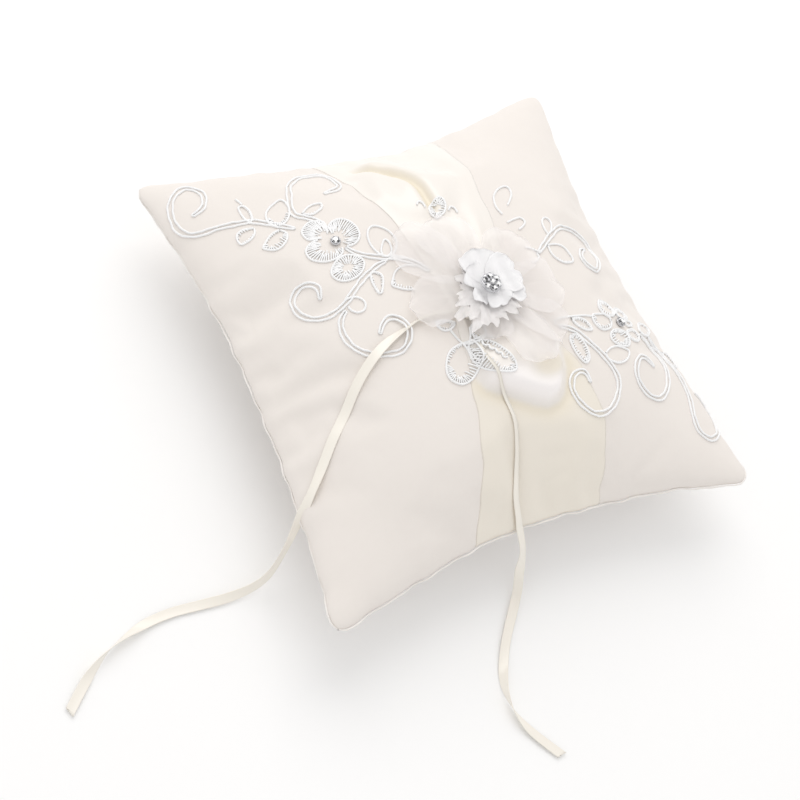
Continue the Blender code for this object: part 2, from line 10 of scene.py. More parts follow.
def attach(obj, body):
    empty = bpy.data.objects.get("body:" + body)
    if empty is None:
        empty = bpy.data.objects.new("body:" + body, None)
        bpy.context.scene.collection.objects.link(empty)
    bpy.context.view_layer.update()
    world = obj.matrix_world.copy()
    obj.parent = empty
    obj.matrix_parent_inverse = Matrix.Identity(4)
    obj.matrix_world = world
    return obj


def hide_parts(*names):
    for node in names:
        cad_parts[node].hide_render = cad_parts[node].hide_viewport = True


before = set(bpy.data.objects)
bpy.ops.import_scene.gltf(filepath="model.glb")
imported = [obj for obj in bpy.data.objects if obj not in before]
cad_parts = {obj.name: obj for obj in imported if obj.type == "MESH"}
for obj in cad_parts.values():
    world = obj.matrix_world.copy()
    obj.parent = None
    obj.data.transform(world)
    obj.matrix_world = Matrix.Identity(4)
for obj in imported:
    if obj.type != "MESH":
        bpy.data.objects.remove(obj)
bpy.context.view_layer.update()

mm = 0.001
print("frame loaded:", len(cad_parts), "nodes")


# the camera comes first
cameraSizes = {
    "place": (-0.37544, -0.23026, 0.65515),
    "look": (0.46055, 0.28253, -0.84147),
    "up": (0.26176, 0.86261, 0.43289),
    "lens": 82.78,
    "sensor": 36.0,
}


def addCamera():
    look = Vector(cameraSizes["look"]).normalized()
    right = look.cross(Vector(cameraSizes["up"])).normalized()
    turn = Matrix((right, right.cross(look), -look)).transposed().to_4x4()
    data = bpy.data.cameras.new("camera")
    data.lens = cameraSizes["lens"]
    data.sensor_width = cameraSizes["sensor"]
    data.clip_start, data.clip_end = 0.02, 20
    camera = bpy.data.objects.new("camera", data)
    camera.matrix_world = Matrix.Translation(cameraSizes["place"]) @ turn
    bpy.context.scene.collection.objects.link(camera)
    bpy.context.scene.camera = camera


addCamera()
print("camera placed")


# ---- nodes and materials ----

def addNode(tree, kind, inputs=None, **settings):
    node = tree.nodes.new(kind)
    for key, value in settings.items():
        setattr(node, key, value)
    for key, value in (inputs or {}).items():
        socket = node.inputs[key]
        if isinstance(value, bpy.types.NodeSocket):
            tree.links.new(value, socket)
        else:
            socket.default_value = value
    return node


def geo(tree, kind, inputs=None, **settings):
    # the first output of a Geometry Nodes node
    return addNode(tree, "GeometryNode" + kind, inputs, **settings).outputs[0]


def mathNode(tree, operation, first, second=0.0, third=0.0):
    return addNode(tree, "ShaderNodeMath", {0: first, 1: second, 2: third}, operation=operation).outputs[0]


def weighted(tree, first, firstShare, second, secondShare):
    return mathNode(tree, "ADD", mathNode(tree, "MULTIPLY", first, firstShare),
                    mathNode(tree, "MULTIPLY", second, secondShare))


def newMaterial(name, colour, **values):
    # values are set on the shader's own sockets, with _ for a blank in a name
    material = bpy.data.materials.new(name)
    material.use_nodes = True
    shader = material.node_tree.nodes["Principled BSDF"]
    shader.inputs["Base Color"].default_value = (*colour, 1)
    for key, value in values.items():
        shader.inputs[key.replace("_", " ")].default_value = value
    return material, material.node_tree, shader


def mixed(tree, share, low, high):
    # low and high are sockets or fixed colours
    low, high = (c if isinstance(c, bpy.types.NodeSocket) else (*c, 1) for c in (low, high))
    return addNode(tree, "ShaderNodeMix", {"Factor": share, "A": low, "B": high}, data_type="RGBA").outputs["Result"]


def surface(tree, shader, colour, height=None, strength=0.0, depth=0.0, rough=None, gain=0.0, least=0.0):
    # the base colour, a relief and a roughness, each from its own texture
    tree.links.new(colour, shader.inputs["Base Color"])
    if height is not None:
        bump = addNode(tree, "ShaderNodeBump", {"Strength": strength, "Distance": depth, "Height": height})
        tree.links.new(bump.outputs[0], shader.inputs["Normal"])
    if rough is not None:
        rough = mathNode(tree, "ADD", mathNode(tree, "MULTIPLY", rough, gain), least)
        tree.links.new(rough, shader.inputs["Roughness"])


def mapOn(tree, name="clothMap"):
    return addNode(tree, "ShaderNodeUVMap", uv_map=name).outputs[0]


def objectPlace(tree):
    return addNode(tree, "ShaderNodeTexCoord").outputs["Object"]


def attributeOf(tree, name):
    return addNode(tree, "ShaderNodeAttribute", attribute_name=name).outputs["Fac"]


def stretched(tree, where, scale):
    return addNode(tree, "ShaderNodeMapping", {"Vector": where, "Scale": scale}).outputs[0]


def bands(tree, where, perUnit, direction):
    # one full wave is 1 / perUnit of the coordinate
    return addNode(tree, "ShaderNodeTexWave", {"Vector": where, "Scale": perUnit * math.pi / 10, "Distortion": 0.0},
                   bands_direction=direction).outputs["Fac"]


def woven(tree, where, count):
    return mathNode(tree, "MAXIMUM", bands(tree, where, count, "X"), bands(tree, where, count, "Y"))


def noise(tree, where, scale, detail=3.0, roughness=0.5):
    return addNode(tree, "ShaderNodeTexNoise", {"Vector": where, "Scale": scale, "Detail": detail,
                                                "Roughness": roughness}).outputs["Fac"]


clothLooks = {
    "coverThreads": 2600,        # in a metre of the plain woven cover
    "petalThreads": 90.0,        # across one unit of a petal's map
    "coverShade": (0.808, 0.756, 0.711),
    "coverLight": (0.868, 0.820, 0.777),
    "satinShade": (0.850, 0.805, 0.750),
    "satinLight": (0.895, 0.852, 0.805),
    # painted shade, warm, for the band's folds and hollows, then painted light for the top of its bag of satin
    "satinPaintedShade": (0.800, 0.720, 0.560),
    "satinPaintedLight": (1.0, 0.96, 0.95),
}


def makeCoverFabric():
    material, tree, shader = newMaterial("coverFabric", clothLooks["coverLight"], Roughness=0.72, Sheen_Weight=0.25,
                                         Sheen_Roughness=0.45, Specular_IOR_Level=0.32)
    where = mapOn(tree)
    weave = woven(tree, where, clothLooks["coverThreads"])
    slub = noise(tree, where, 260.0, 4.0, 0.6)
    share = weighted(tree, noise(tree, where, 16.0), 0.7, slub, 0.35)
    surface(tree, shader, mixed(tree, share, clothLooks["coverShade"], clothLooks["coverLight"]),
           weighted(tree, weave, 0.6, slub, 0.9), 0.25, 0.00012, slub, 0.16, 0.62)
    return material


def makeSatin(name, low, high, threads):
    material, tree, shader = newMaterial(name, high, Roughness=0.34, Sheen_Weight=0.2, Sheen_Roughness=0.3,
                                         Specular_IOR_Level=0.85)
    where = mapOn(tree)
    depth = attributeOf(tree, "paintedShadeAndLight")        # painted shade, warmer, in the folds; painted light below zero
    floats = noise(tree, stretched(tree, where, (1.0, 0.06, 1.0)), threads, 3.0, 0.65)      # the warp
    ribs = bands(tree, where, threads * 1.4, "X")
    colour = mixed(tree, weighted(tree, noise(tree, where, 22.0, 2.0), 0.6, floats, 0.4), low, high)
    # painted shade where the attribute is above zero, and painted light where it is below
    colour = mixed(tree, depth, colour, clothLooks["satinPaintedShade"])
    colour = mixed(tree, mathNode(tree, "MULTIPLY", depth, -1.0), colour, clothLooks["satinPaintedLight"])
    surface(tree, shader, colour, weighted(tree, floats, 0.8, ribs, 0.3), 0.22, 0.00008, floats, 0.16, 0.24)
    return material


def makeThread(name, low, high):
    material, tree, shader = newMaterial(name, high, Roughness=0.42, Sheen_Weight=0.3, Sheen_Roughness=0.35)
    where = objectPlace(tree)
    fibre = noise(tree, where, 2600.0, 3.0, 0.6)
    share = weighted(tree, fibre, 0.55, noise(tree, where, 90.0, 2.0), 0.45)
    surface(tree, shader, mixed(tree, share, low, high), fibre, 0.35, 0.00008, fibre, 0.25, 0.32)
    return material


def makePetalCloth(name, low, high, alpha, through):
    # light comes through the sheer cloth
    material, tree, shader = newMaterial(
        name, high, Roughness=0.5, Alpha=alpha, Sheen_Weight=0.3, Sheen_Roughness=0.4, Specular_IOR_Level=0.35,
        IOR=1.04 if through else 1.45, Transmission_Weight=through)
    where = mapOn(tree, "petalMap")
    weave = woven(tree, where, clothLooks["petalThreads"])
    crease = noise(tree, stretched(tree, where, (2.6, 0.3, 1.0)), 5.0, 3.0, 0.55)           # lies along the petal
    height = mathNode(tree, "ADD", mathNode(tree, "MULTIPLY", weave, 0.15), crease)
    surface(tree, shader, mixed(tree, weighted(tree, weave, 0.25, crease, 0.8), low, high),
           height, 0.3, 0.0004, crease, 0.2, 0.4)
    return material


def makeMetal():
    material, tree, shader = newMaterial("silverClaw", (0.66, 0.66, 0.68), Roughness=0.2, Metallic=1.0)
    grain = noise(tree, objectPlace(tree), 1500.0, 3.0, 0.6)
    surface(tree, shader, mixed(tree, grain, (0.42, 0.42, 0.44), (0.86, 0.86, 0.88)),
           grain, 0.15, 0.00005, grain, 0.22, 0.1)
    return material


def makeCrystal():
    # foil-backed glass: each facet holds its own painted reflection, light or nearly black, in an attribute
    material, tree, shader = newMaterial("crystal", (0.9, 0.9, 0.92), Roughness=0.04, Metallic=0.1, Coat_Weight=1.0,
                                         Coat_Roughness=0.02, Specular_IOR_Level=0.9)
    paintedGlint = attributeOf(tree, "paintedFacetGlint")
    surface(tree, shader, mixed(tree, paintedGlint, (0.012, 0.012, 0.016), (1.0, 1.0, 1.0)),
            rough=paintedGlint, gain=0.05, least=0.02)
    return material


def makeFelt():
    material, tree, shader = newMaterial("felt", (0.85, 0.83, 0.8), Roughness=0.95)
    fuzz = noise(tree, objectPlace(tree), 1800.0, 4.0, 0.7)
    surface(tree, shader, mixed(tree, fuzz, (0.74, 0.72, 0.69), (0.9, 0.88, 0.85)), fuzz, 0.6, 0.0003)
    return material


materials = {
    "cover": makeCoverFabric(),
    "bandSatin": makeSatin("bandSatin", clothLooks["satinShade"], clothLooks["satinLight"], 1500.0),
    "ribbonSatin": makeSatin("ribbonSatin", (0.88, 0.83, 0.74), (0.95, 0.91, 0.84), 2600.0),
    "thread": makeThread("laceThread", (0.95, 0.955, 0.965), (1.0, 1.0, 1.0)),
    "seam": makeThread("seamFold", (0.86, 0.82, 0.78), (0.93, 0.90, 0.87)),
    "organza": makePetalCloth("organza", (0.95, 0.915, 0.905), (1.0, 0.98, 0.975), 0.52, 0.25),
    "frayed": makePetalCloth("frayedSatin", (0.965, 0.935, 0.93), (1.0, 0.985, 0.98), 0.84, 0.25),
    "petal": makePetalCloth("petalSatin", (0.965, 0.955, 0.965), (1.0, 0.995, 1.0), 1.0, 0.1),
    "metal": makeMetal(),
    "crystal": makeCrystal(),
    "felt": makeFelt(),
}
print("materials made:", len(materials))


# ---- meshes ----

def pointsIn(text):
    # a point's numbers are parted by blanks, and the points by commas
    return [tuple(map(float, point.split())) for point in text.split(",") if point.strip()]


def routesIn(text):
    return [pointsIn(route) for route in text.split(";")]


def leavesIn(text):
    # an outline, its filling threads as from, to and reach shares, and the line they point at
    return [[pointsIn(part) for part in leaf.split("/")] for leaf in text.split(";")]


def newObject(name, data, material=None):
    obj = bpy.data.objects.new(name, data)
    bpy.context.scene.collection.objects.link(obj)
    if material is not None:
        data.materials.append(material)
    return obj


def smoothMesh(name, points, faces):
    mesh = bpy.data.meshes.new(name)
    mesh.from_pydata([tuple(p) for p in points], [], faces)
    mesh.shade_smooth()
    return mesh


def setUvs(mesh, name, byVertex):
    layer = mesh.uv_layers.new(name=name)
    corners = np.zeros(len(mesh.loops), np.int32)
    mesh.loops.foreach_get("vertex_index", corners)
    layer.data.foreach_set("uv", np.asarray(byVertex, np.float32)[corners].ravel())


def applyModifiers(obj):
    bpy.context.view_layer.update()
    depsgraph = bpy.context.evaluated_depsgraph_get()
    mesh = bpy.data.meshes.new_from_object(obj.evaluated_get(depsgraph), preserve_all_data_layers=True,
                                           depsgraph=depsgraph)
    obj.modifiers.clear()
    old = obj.data
    obj.data = mesh
    if not mesh.materials:
        for material in old.materials:
            mesh.materials.append(material)
    return obj


def thickened(obj, wall, offset):
    modifier = obj.modifiers.new("wall", "SOLIDIFY")
    modifier.thickness, modifier.offset = wall, offset
    return applyModifiers(obj)


def fixNormals(obj):
    bm = bmesh.new()
    bm.from_mesh(obj.data)
    bmesh.ops.recalc_face_normals(bm, faces=bm.faces)
    bm.to_mesh(obj.data)
    bm.free()
    return obj


def belongs(obj, slot, *nodes):
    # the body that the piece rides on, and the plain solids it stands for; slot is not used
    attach(obj, "root")
    if nodes:
        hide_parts(*nodes)


def gridFaces(rows, columns, closed=False):
    faces = []
    for i in range(rows - 1):
        for j in range(columns if closed else columns - 1):
            k = (j + 1) % columns
            faces.append((i * columns + j, i * columns + k, (i + 1) * columns + k, (i + 1) * columns + j))
    return faces


def joinObjects(name, objects):
    bm = bmesh.new()
    slots = []
    for obj in objects:
        start = len(bm.faces)
        bm.from_mesh(obj.data)
        bm.faces.ensure_lookup_table()
        for material in obj.data.materials:
            if material not in slots:
                slots.append(material)
        if obj.data.materials:
            for face in bm.faces[start:]:
                face.material_index = slots.index(obj.data.materials[face.material_index])
    mesh = bpy.data.meshes.new(name)
    bm.to_mesh(mesh)
    bm.free()
    for material in slots:
        mesh.materials.append(material)
    for obj in objects:
        bpy.data.objects.remove(obj)
    return newObject(name, mesh)


# ---- the cushion ----

cushionSizes = {
    "half": 100 * mm,
    "edgePull": 9.5 * mm,        # the stuffing pulls the middle of each side in
    "frontCrown": 34 * mm,
    "backCrown": 33 * mm,
    "seamHeight": 30 * mm,
    "fullness": 0.58,
    "cornerRound": 3.3 * mm,
    "gridSteps": 72,
    "startShare": 0.94,          # the rise before the filling swells it
    "pressure": 4.0,
    "looseness": 0.034,          # extra cloth that puckers along the seam
    "seamWave": 0.3 * mm,
    "simFrames": 20,
    "cap": 6 * mm,
    "cornerFill": 0.93,          # how far the stuffing fills the corners out again
    "turnIn": 4 * mm,            # width of cloth that turns in before the seam
    # how far each side stands out from the plan, in millimetres, by share along it
    "left": pointsIn("""
        -1 3, -0.94 4.4, -0.85 3, -0.7 2.4, -0.5 2.6, -0.3 2, -0.1 1.9, 0.1 1.3, 0.3 0.6, 0.6 0.9, 0.85 2.3,
        0.94 3.4, 1 2.2"""),
    "right": pointsIn("""
        -1 3.2, -0.94 5.2, -0.85 4.4, -0.75 4.2, -0.6 4.4, -0.4 3, -0.1 2.4, 0.1 1.8, 0.3 0.8, 0.5 -0.2, 0.7 0.7,
        0.85 1.6, 0.94 2.6, 1 1.4"""),
    "near": pointsIn("""
        -1 2.8, -0.94 3.9, -0.85 2.3, -0.7 0.9, -0.6 0.1, -0.35 -2.2, -0.2 -2.8, 0 -2.7, 0.25 -1.6, 0.5 -0.9,
        0.65 -0.2, 0.8 1.9, 0.94 3.7, 1 2.4"""),
    "far": pointsIn("""
        -1 1.8, -0.94 2.5, -0.85 1.3, -0.5 1, -0.3 0.6, 0 -0.9, 0.2 -2.5, 0.4 -1.7, 0.6 -0.5, 0.75 1.2, 0.94 3.2,
        1 2.2"""),
}


clothStiffness = {"quality": 8, "mass": 0.15, "stretch": 20, "shear": 8, "bend": 0.4}


def smoothStep(low, high, x):
    t = np.clip((x - low) / (high - low), 0.0, 1.0)
    return t * t * (3 - 2 * t)


def ramp(low, high, x):
    return float(smoothStep(low, high, x))


def bell(x, wide):
    return math.exp(-(x / wide) ** 2)


def planPoint(u, v):
    half, pull = cushionSizes["half"], cushionSizes["edgePull"]
    return (half - pull * (1 - v * v)) * u, (half - pull * (1 - u * u)) * v


def crown(u, v):
    return max((1 - u * u) * (1 - v * v), 0.0) ** cushionSizes["fullness"]


def shares(x, y):
    # how far a plan position is on its way to the sides
    half, pull = cushionSizes["half"], cushionSizes["edgePull"]
    u, v = x / half, y / half
    for step in range(12):
        u = max(-1.0, min(1.0, x / (half - pull * (1 - v * v))))
        v = max(-1.0, min(1.0, y / (half - pull * (1 - u * u))))
    return u, v


def frontPoint(a, b):
    u, v = math.sin(a), math.sin(b)
    x, y = planPoint(u, v)
    return Vector((x, y, cushionSizes["seamHeight"] + cushionSizes["frontCrown"] * crown(u, v)))


def frontSeat(x, y):
    # the ideal front's point and normal over a plan position
    u, v = shares(x, y)
    a, b = math.asin(u), math.asin(v)
    step = 0.01
    across = frontPoint(a + step, b) - frontPoint(a - step, b)
    along = frontPoint(a, b + step) - frontPoint(a, b - step)
    return frontPoint(a, b), across.cross(along).normalized()


def seamLine(u, v):
    # the plan with its corners rounded off and its edge drawn in unevenly by the stitching
    x, y = planPoint(u, v)
    off = cushionSizes["cornerRound"] * abs(u * v) ** 16
    return seamWave(x - math.copysign(off, x), y - math.copysign(off, y), u, v)


def seamWave(x, y, u, v):
    edge = max(abs(u), abs(v)) ** 10
    along, out = (y, math.copysign(1, x)) if abs(u) >= abs(v) else (x, math.copysign(1, y))
    wave = math.sin(along * 340 + 2 * out) + 0.7 * math.sin(along * 590 + 1.3 + out)
    wave *= cushionSizes["seamWave"] * edge * (1 - min(abs(u), abs(v)) ** 6)
    if abs(u) >= abs(v):
        return x - out * (wave + cushionSizes["seamWave"]), y
    return x, y - out * (wave + cushionSizes["seamWave"])


def cushionStart():
    # two sewn squares as one closed form, not yet swollen
    steps = cushionSizes["gridSteps"]
    seam = cushionSizes["seamHeight"]
    spots = []
    for i in range(steps + 1):
        t = 2 * i / steps - 1
        spots.append(0.5 * t + 0.5 * math.sin(t * math.pi / 2))
    points, uvs, index = [], [], {}
    for side, rise in ((1, cushionSizes["frontCrown"]), (-1, -cushionSizes["backCrown"])):
        for i, v in enumerate(spots):
            for j, u in enumerate(spots):
                onSeam = i in (0, steps) or j in (0, steps)
                if side < 0 and onSeam:
                    index[side, i, j] = index[1, i, j]
                    continue
                x, y = seamLine(u, v)
                z = seam + rise * cushionSizes["startShare"] * crown(u, v)
                index[side, i, j] = len(points)
                points.append((x, y, max(z, 0.0)))
                uvs.append((u * 0.11, v * 0.11))
    faces = []
    for side in (1, -1):
        for i in range(steps):
            for j in range(steps):
                quad = [index[side, i, j], index[side, i, j + 1], index[side, i + 1, j + 1], index[side, i + 1, j]]
                faces.append(quad if side > 0 else quad[::-1])
    mesh = smoothMesh("cushion", points, faces)
    setUvs(mesh, "clothMap", uvs)
    obj = newObject("cushion", mesh, materials["cover"])
    ring = [index[1, i, j] for i in range(steps + 1) for j in range(steps + 1)
            if i in (0, steps) or j in (0, steps)]
    obj.vertex_groups.new(name="seam").add(ring, 1.0, "REPLACE")
    return obj


def swell(obj):
    # cloth under the filling's pressure, sewn down along the seam
    start = np.array([v.co for v in obj.data.vertices])
    cloth = obj.modifiers.new("cloth", "CLOTH")
    settings = cloth.settings
    settings.quality = clothStiffness["quality"]
    settings.mass = clothStiffness["mass"]
    settings.tension_stiffness = settings.compression_stiffness = clothStiffness["stretch"]
    settings.shear_stiffness = clothStiffness["shear"]
    settings.bending_stiffness = clothStiffness["bend"]
    settings.vertex_group_mass = "seam"
    settings.use_pressure = True
    settings.uniform_pressure_force = cushionSizes["pressure"]
    settings.shrink_min = -cushionSizes["looseness"]
    settings.effector_weights.gravity = 0
    cloth.collision_settings.use_collision = False
    cloth.point_cache.frame_end = cushionSizes["simFrames"]
    scene = bpy.context.scene
    for number in range(1, cushionSizes["simFrames"] + 1):
        scene.frame_set(number)
    evaluated = obj.evaluated_get(bpy.context.evaluated_depsgraph_get())
    swollen = np.array([v.co for v in evaluated.data.vertices])
    obj.modifiers.remove(cloth)
    scene.frame_set(1)
    move = swollen - start
    length = np.linalg.norm(move, axis=1, keepdims=True)
    move *= np.minimum(1.0, cushionSizes["cap"] / np.maximum(length, 1e-9))
    return start + move


def sideReach(points, axis):
    # how far out the pulled-in sides lie beside each point
    half, pull = cushionSizes["half"], cushionSizes["edgePull"]
    return half - pull * (1 - np.clip(points[:, 1 - axis] / half, -1, 1) ** 2)


def sideShares(points):
    return [np.clip(points[:, axis] / sideReach(points, axis), -1, 1) for axis in (0, 1)]


def fillSides(points):
    # each side's own line, strongest at the seam
    u, v = sideShares(points)
    for axis, share, other, low, high in ((0, u, v, "left", "right"), (1, v, u, "near", "far")):
        for sign, name in ((-1, low), (1, high)):
            along, out = np.array(cushionSizes[name]).T
            points[:, axis] += sign * mm * np.interp(other, along, out) * smoothStep(0.45, 1.0, sign * share)
    return points


def fitCushion(start, points):
    # the crown and the back keep the frame's heights, and the back is flat where it rests
    seam = cushionSizes["seamHeight"]
    above = points[:, 2] > seam
    rise = np.percentile(points[above, 2], 99.5) - seam
    points[above, 2] = seam + (points[above, 2] - seam) * cushionSizes["frontCrown"] / rise
    below = ~above
    drop = seam - points[below, 2]
    points[below, 2] = seam - drop * cushionSizes["backCrown"] / max(np.percentile(drop, 99.5), 1e-9)
    # the stuffing fills the corners
    u, v = sideShares(start)
    points += (start - points) * (cushionSizes["cornerFill"] * smoothStep(0.22, 0.62, np.abs(u * v)))[:, None]
    points[:, 2] = np.maximum(points[:, 2], 0.0)
    # the cloth near the seam turns in before it gets there on the near side, and stands over it on the others
    turn = cushionSizes["turnIn"]
    for axis, sign, past in ((0, -1, 0.5), (0, 1, 0.5), (1, -1, -0.6), (1, 1, 0.3)):
        limit = sideReach(points, axis) + past * mm
        out = sign * points[:, axis]
        over = (out > limit - turn) & (np.abs(points[:, 2] - seam) > 0.01 * mm)
        points[over, axis] = (sign * (limit - turn + turn * np.tanh((out - limit + turn) / turn)))[over]
    return fillSides(points)


def makeCushion():
    obj = cushionStart()
    start = np.array([v.co for v in obj.data.vertices])
    points = fitCushion(start, swell(obj))
    obj.data.vertices.foreach_set("co", points.astype(np.float32).ravel())
    obj.data.update()
    divide = obj.modifiers.new("divide", "SUBSURF")
    divide.levels = divide.render_levels = 1
    divide.boundary_smooth = "PRESERVE_CORNERS"
    applyModifiers(obj)
    obj.vertex_groups.clear()
    for vertex in obj.data.vertices:
        vertex.co.z = max(vertex.co.z, 0.0)
    obj.data.update()
    return obj


def treeOf(*objects):
    points, faces = [], []
    for obj in objects:
        base = len(points)
        points += [v.co.copy() for v in obj.data.vertices]
        faces += [tuple(base + i for i in p.vertices) for p in obj.data.polygons]
    return BVHTree.FromPolygons(points, faces)


def seatOn(tree, x, y, lift):
    # a point above the cloth over a plan position, and the ideal front's normal there
    point, normal = frontSeat(x, y)
    hit = tree.ray_cast(point + normal * 20 * mm, -normal, 40 * mm)[0]
    return (hit or point) + normal * lift, normal


cushion = makeCushion()
coverTree = treeOf(cushion)
belongs(cushion, "cover_fabric", "front_cover", "back_cover", "fibre_filling")
print("cushion:", len(cushion.data.vertices), "vertices")


# ---- trees that repeat threads and cords ----

def startTree(name, sockets):
    tree = bpy.data.node_groups.new(name, "GeometryNodeTree")
    tree.interface.new_socket("Geometry", in_out="INPUT", socket_type="NodeSocketGeometry")
    names = {}
    for label, kind in sockets:
        names[label] = tree.interface.new_socket(label, in_out="INPUT", socket_type="NodeSocket" + kind).identifier
    tree.interface.new_socket("Geometry", in_out="OUTPUT", socket_type="NodeSocketGeometry")
    return tree, names, tree.nodes.new("NodeGroupInput").outputs


def endTree(tree, geometry, material):
    whole = geo(tree, "RealizeInstances", {"Geometry": geometry})
    smooth = geo(tree, "SetShadeSmooth", {"Geometry": whole})
    done = geo(tree, "SetMaterial", {"Geometry": smooth, "Material": material})
    addNode(tree, "NodeGroupOutput", {"Geometry": done})


def vectorAt(tree, name):
    return geo(tree, "InputNamedAttribute", {"Name": name}, data_type="FLOAT_VECTOR")


def lengthOf(tree, vector):
    return addNode(tree, "ShaderNodeVectorMath", {0: vector}, operation="LENGTH").outputs["Value"]


def ringOf(tree, given):
    return geo(tree, "CurvePrimitiveCircle", {"Resolution": given["Sides"], "Radius": given["Radius"]})


def makeCordTree():
    # a plied cord along each drawn line
    tree, names, given = startTree("pliedCord", (
        ("Radius", "Float"), ("Pitch", "Float"), ("Step", "Float"), ("Ply Depth", "Float"), ("Plies", "Int"),
        ("Sides", "Int"), ("Material", "Material")))
    line = geo(tree, "MeshToCurve", {"Mesh": given["Geometry"]})
    line = geo(tree, "ResampleCurve", {"Curve": line, "Length": given["Step"]}, mode="LENGTH")
    far = addNode(tree, "GeometryNodeSplineParameter").outputs["Length"]
    turn = mathNode(tree, "MULTIPLY", mathNode(tree, "DIVIDE", far, given["Pitch"]), math.tau)
    line = geo(tree, "SetCurveTilt", {"Curve": line, "Tilt": turn})
    ring = ringOf(tree, given)
    index = geo(tree, "InputIndex")
    angle = mathNode(tree, "DIVIDE", mathNode(tree, "MULTIPLY", index, given["Plies"]), given["Sides"])
    wave = mathNode(tree, "COSINE", mathNode(tree, "MULTIPLY", angle, math.tau))
    swellBy = mathNode(tree, "MULTIPLY_ADD", wave, given["Ply Depth"], 1.0)
    place = geo(tree, "InputPosition")
    scaled = addNode(tree, "ShaderNodeVectorMath", {0: place, "Scale": swellBy}, operation="SCALE").outputs[0]
    ring = geo(tree, "SetPosition", {"Geometry": ring, "Position": scaled})
    mesh = geo(tree, "CurveToMesh", {"Curve": line, "Profile Curve": ring, "Fill Caps": True})
    endTree(tree, mesh, given["Material"])
    return tree, names


def makeThreadTree():
    # one short arched thread on each point, along that point's own direction
    tree, names, given = startTree("satinThread", (
        ("Radius", "Float"), ("Arch", "Float"), ("Sides", "Int"), ("Material", "Material")))
    line = geo(tree, "CurvePrimitiveLine", {"Start": (0, 0, 0), "End": (1, 0, 0)})
    line = geo(tree, "ResampleCurve", {"Curve": line, "Count": 5}, mode="COUNT")
    place = geo(tree, "InputPosition")
    x = addNode(tree, "ShaderNodeSeparateXYZ", {0: place}).outputs[0]
    hump = mathNode(tree, "MULTIPLY", mathNode(tree, "MULTIPLY", x, mathNode(tree, "SUBTRACT", 1.0, x)), 4.0)
    lifted = addNode(tree, "ShaderNodeCombineXYZ", {"Z": mathNode(tree, "MULTIPLY", hump, given["Arch"])}).outputs[0]
    line = geo(tree, "SetPosition", {"Geometry": line, "Offset": lifted})
    ring = ringOf(tree, given)
    thread = geo(tree, "CurveToMesh", {"Curve": line, "Profile Curve": ring, "Fill Caps": True})
    along, up = vectorAt(tree, "along"), vectorAt(tree, "up")
    turn = addNode(tree, "FunctionNodeAlignRotationToVector", {"Vector": along}, axis="X").outputs[0]
    turn = addNode(tree, "FunctionNodeAlignRotationToVector", {"Rotation": turn, "Vector": up}, axis="Z",
                   pivot_axis="X").outputs[0]
    size = addNode(tree, "ShaderNodeCombineXYZ", {"X": lengthOf(tree, along), "Y": 1.0, "Z": 1.0}).outputs[0]
    placed = geo(tree, "InstanceOnPoints", {
        "Points": given["Geometry"], "Instance": thread, "Rotation": turn, "Scale": size})
    endTree(tree, placed, given["Material"])
    return tree, names


trees = {"cord": makeCordTree(), "thread": makeThreadTree()}


def runTree(obj, which, values):
    tree, names = trees[which]
    modifier = obj.modifiers.new(which, "NODES")
    modifier.node_group = tree
    for label, value in values.items():
        modifier[names[label]] = value
    return applyModifiers(obj)


def pointsWith(name, places, **vectors):
    # loose points, each with its named vectors
    mesh = bpy.data.meshes.new(name)
    mesh.from_pydata([tuple(place) for place in places], [], [])
    for label, values in vectors.items():
        layer = mesh.attributes.new(label, "FLOAT_VECTOR", "POINT")
        layer.data.foreach_set("vector", np.array([tuple(v) for v in values], np.float32).ravel())
    return newObject(name, mesh)


def cordsAlong(name, routes, radius, pitch=2.2 * mm, step=0.45 * mm, depth=0.10, plies=3, sides=9, look="thread"):
    # routes are (points, closed)
    points, edges = [], []
    for route, closed in routes:
        base, count = len(points), len(route)
        points += [tuple(p) for p in route]
        edges += [(base + i, base + i + 1) for i in range(count - 1)]
        if closed:
            edges.append((base + count - 1, base))
    mesh = bpy.data.meshes.new(name)
    mesh.from_pydata(points, edges, [])
    obj = newObject(name, mesh)
    return runTree(obj, "cord", {"Radius": radius, "Pitch": pitch, "Step": step, "Ply Depth": depth, "Plies": plies,
                                 "Sides": sides, "Material": materials[look]})


def threadsAt(name, threads, radius, arch, sides=5, look="thread"):
    # threads are (root, end, up)
    roots, ends, ups = zip(*threads)
    obj = pointsWith(name, roots, along=[end - root for root, end in zip(roots, ends)], up=ups)
    return runTree(obj, "thread", {"Radius": radius, "Arch": arch, "Sides": sides, "Material": materials[look]})


seamSizes = {
    "steps": 200,                # on each side
    "radius": 0.34 * mm,
    "wander": 0.12 * mm,
    "tuck": 0.8 * mm,            # the fold lies this far under the front, except on the near side
    "inward": 0.006,             # and this share further in
    "pitch": 40 * mm,
    "step": 0.9 * mm,
}


def makeSeam():
    # the folded edge where the two covers are sewn together
    steps, route = seamSizes["steps"], []
    for side in range(4):
        for k in range(steps):
            t = math.sin((2 * k / steps - 1) * math.pi / 2)
            u, v = ((t, -1), (1, t), (-t, 1), (-1, -t))[side]
            x, y = seamLine(u, v)
            under = ramp(-0.98, -0.8, v)         # only the near side shows its fold
            inside = 1 - seamSizes["inward"] * under
            z = seamSizes["wander"] * math.sin(k * 0.9) - seamSizes["tuck"] * under
            route.append((x * inside, y * inside, cushionSizes["seamHeight"] + z))
    route = fillSides(np.array(route))
    seam = cordsAlong("seamEdge", [(route, True)], seamSizes["radius"], pitch=seamSizes["pitch"],
                      step=seamSizes["step"], depth=0.25, plies=2, sides=8, look="seam")
    belongs(seam, "cover_fabric")


makeSeam()
print("seam folded")


# ---- smooth lines ----

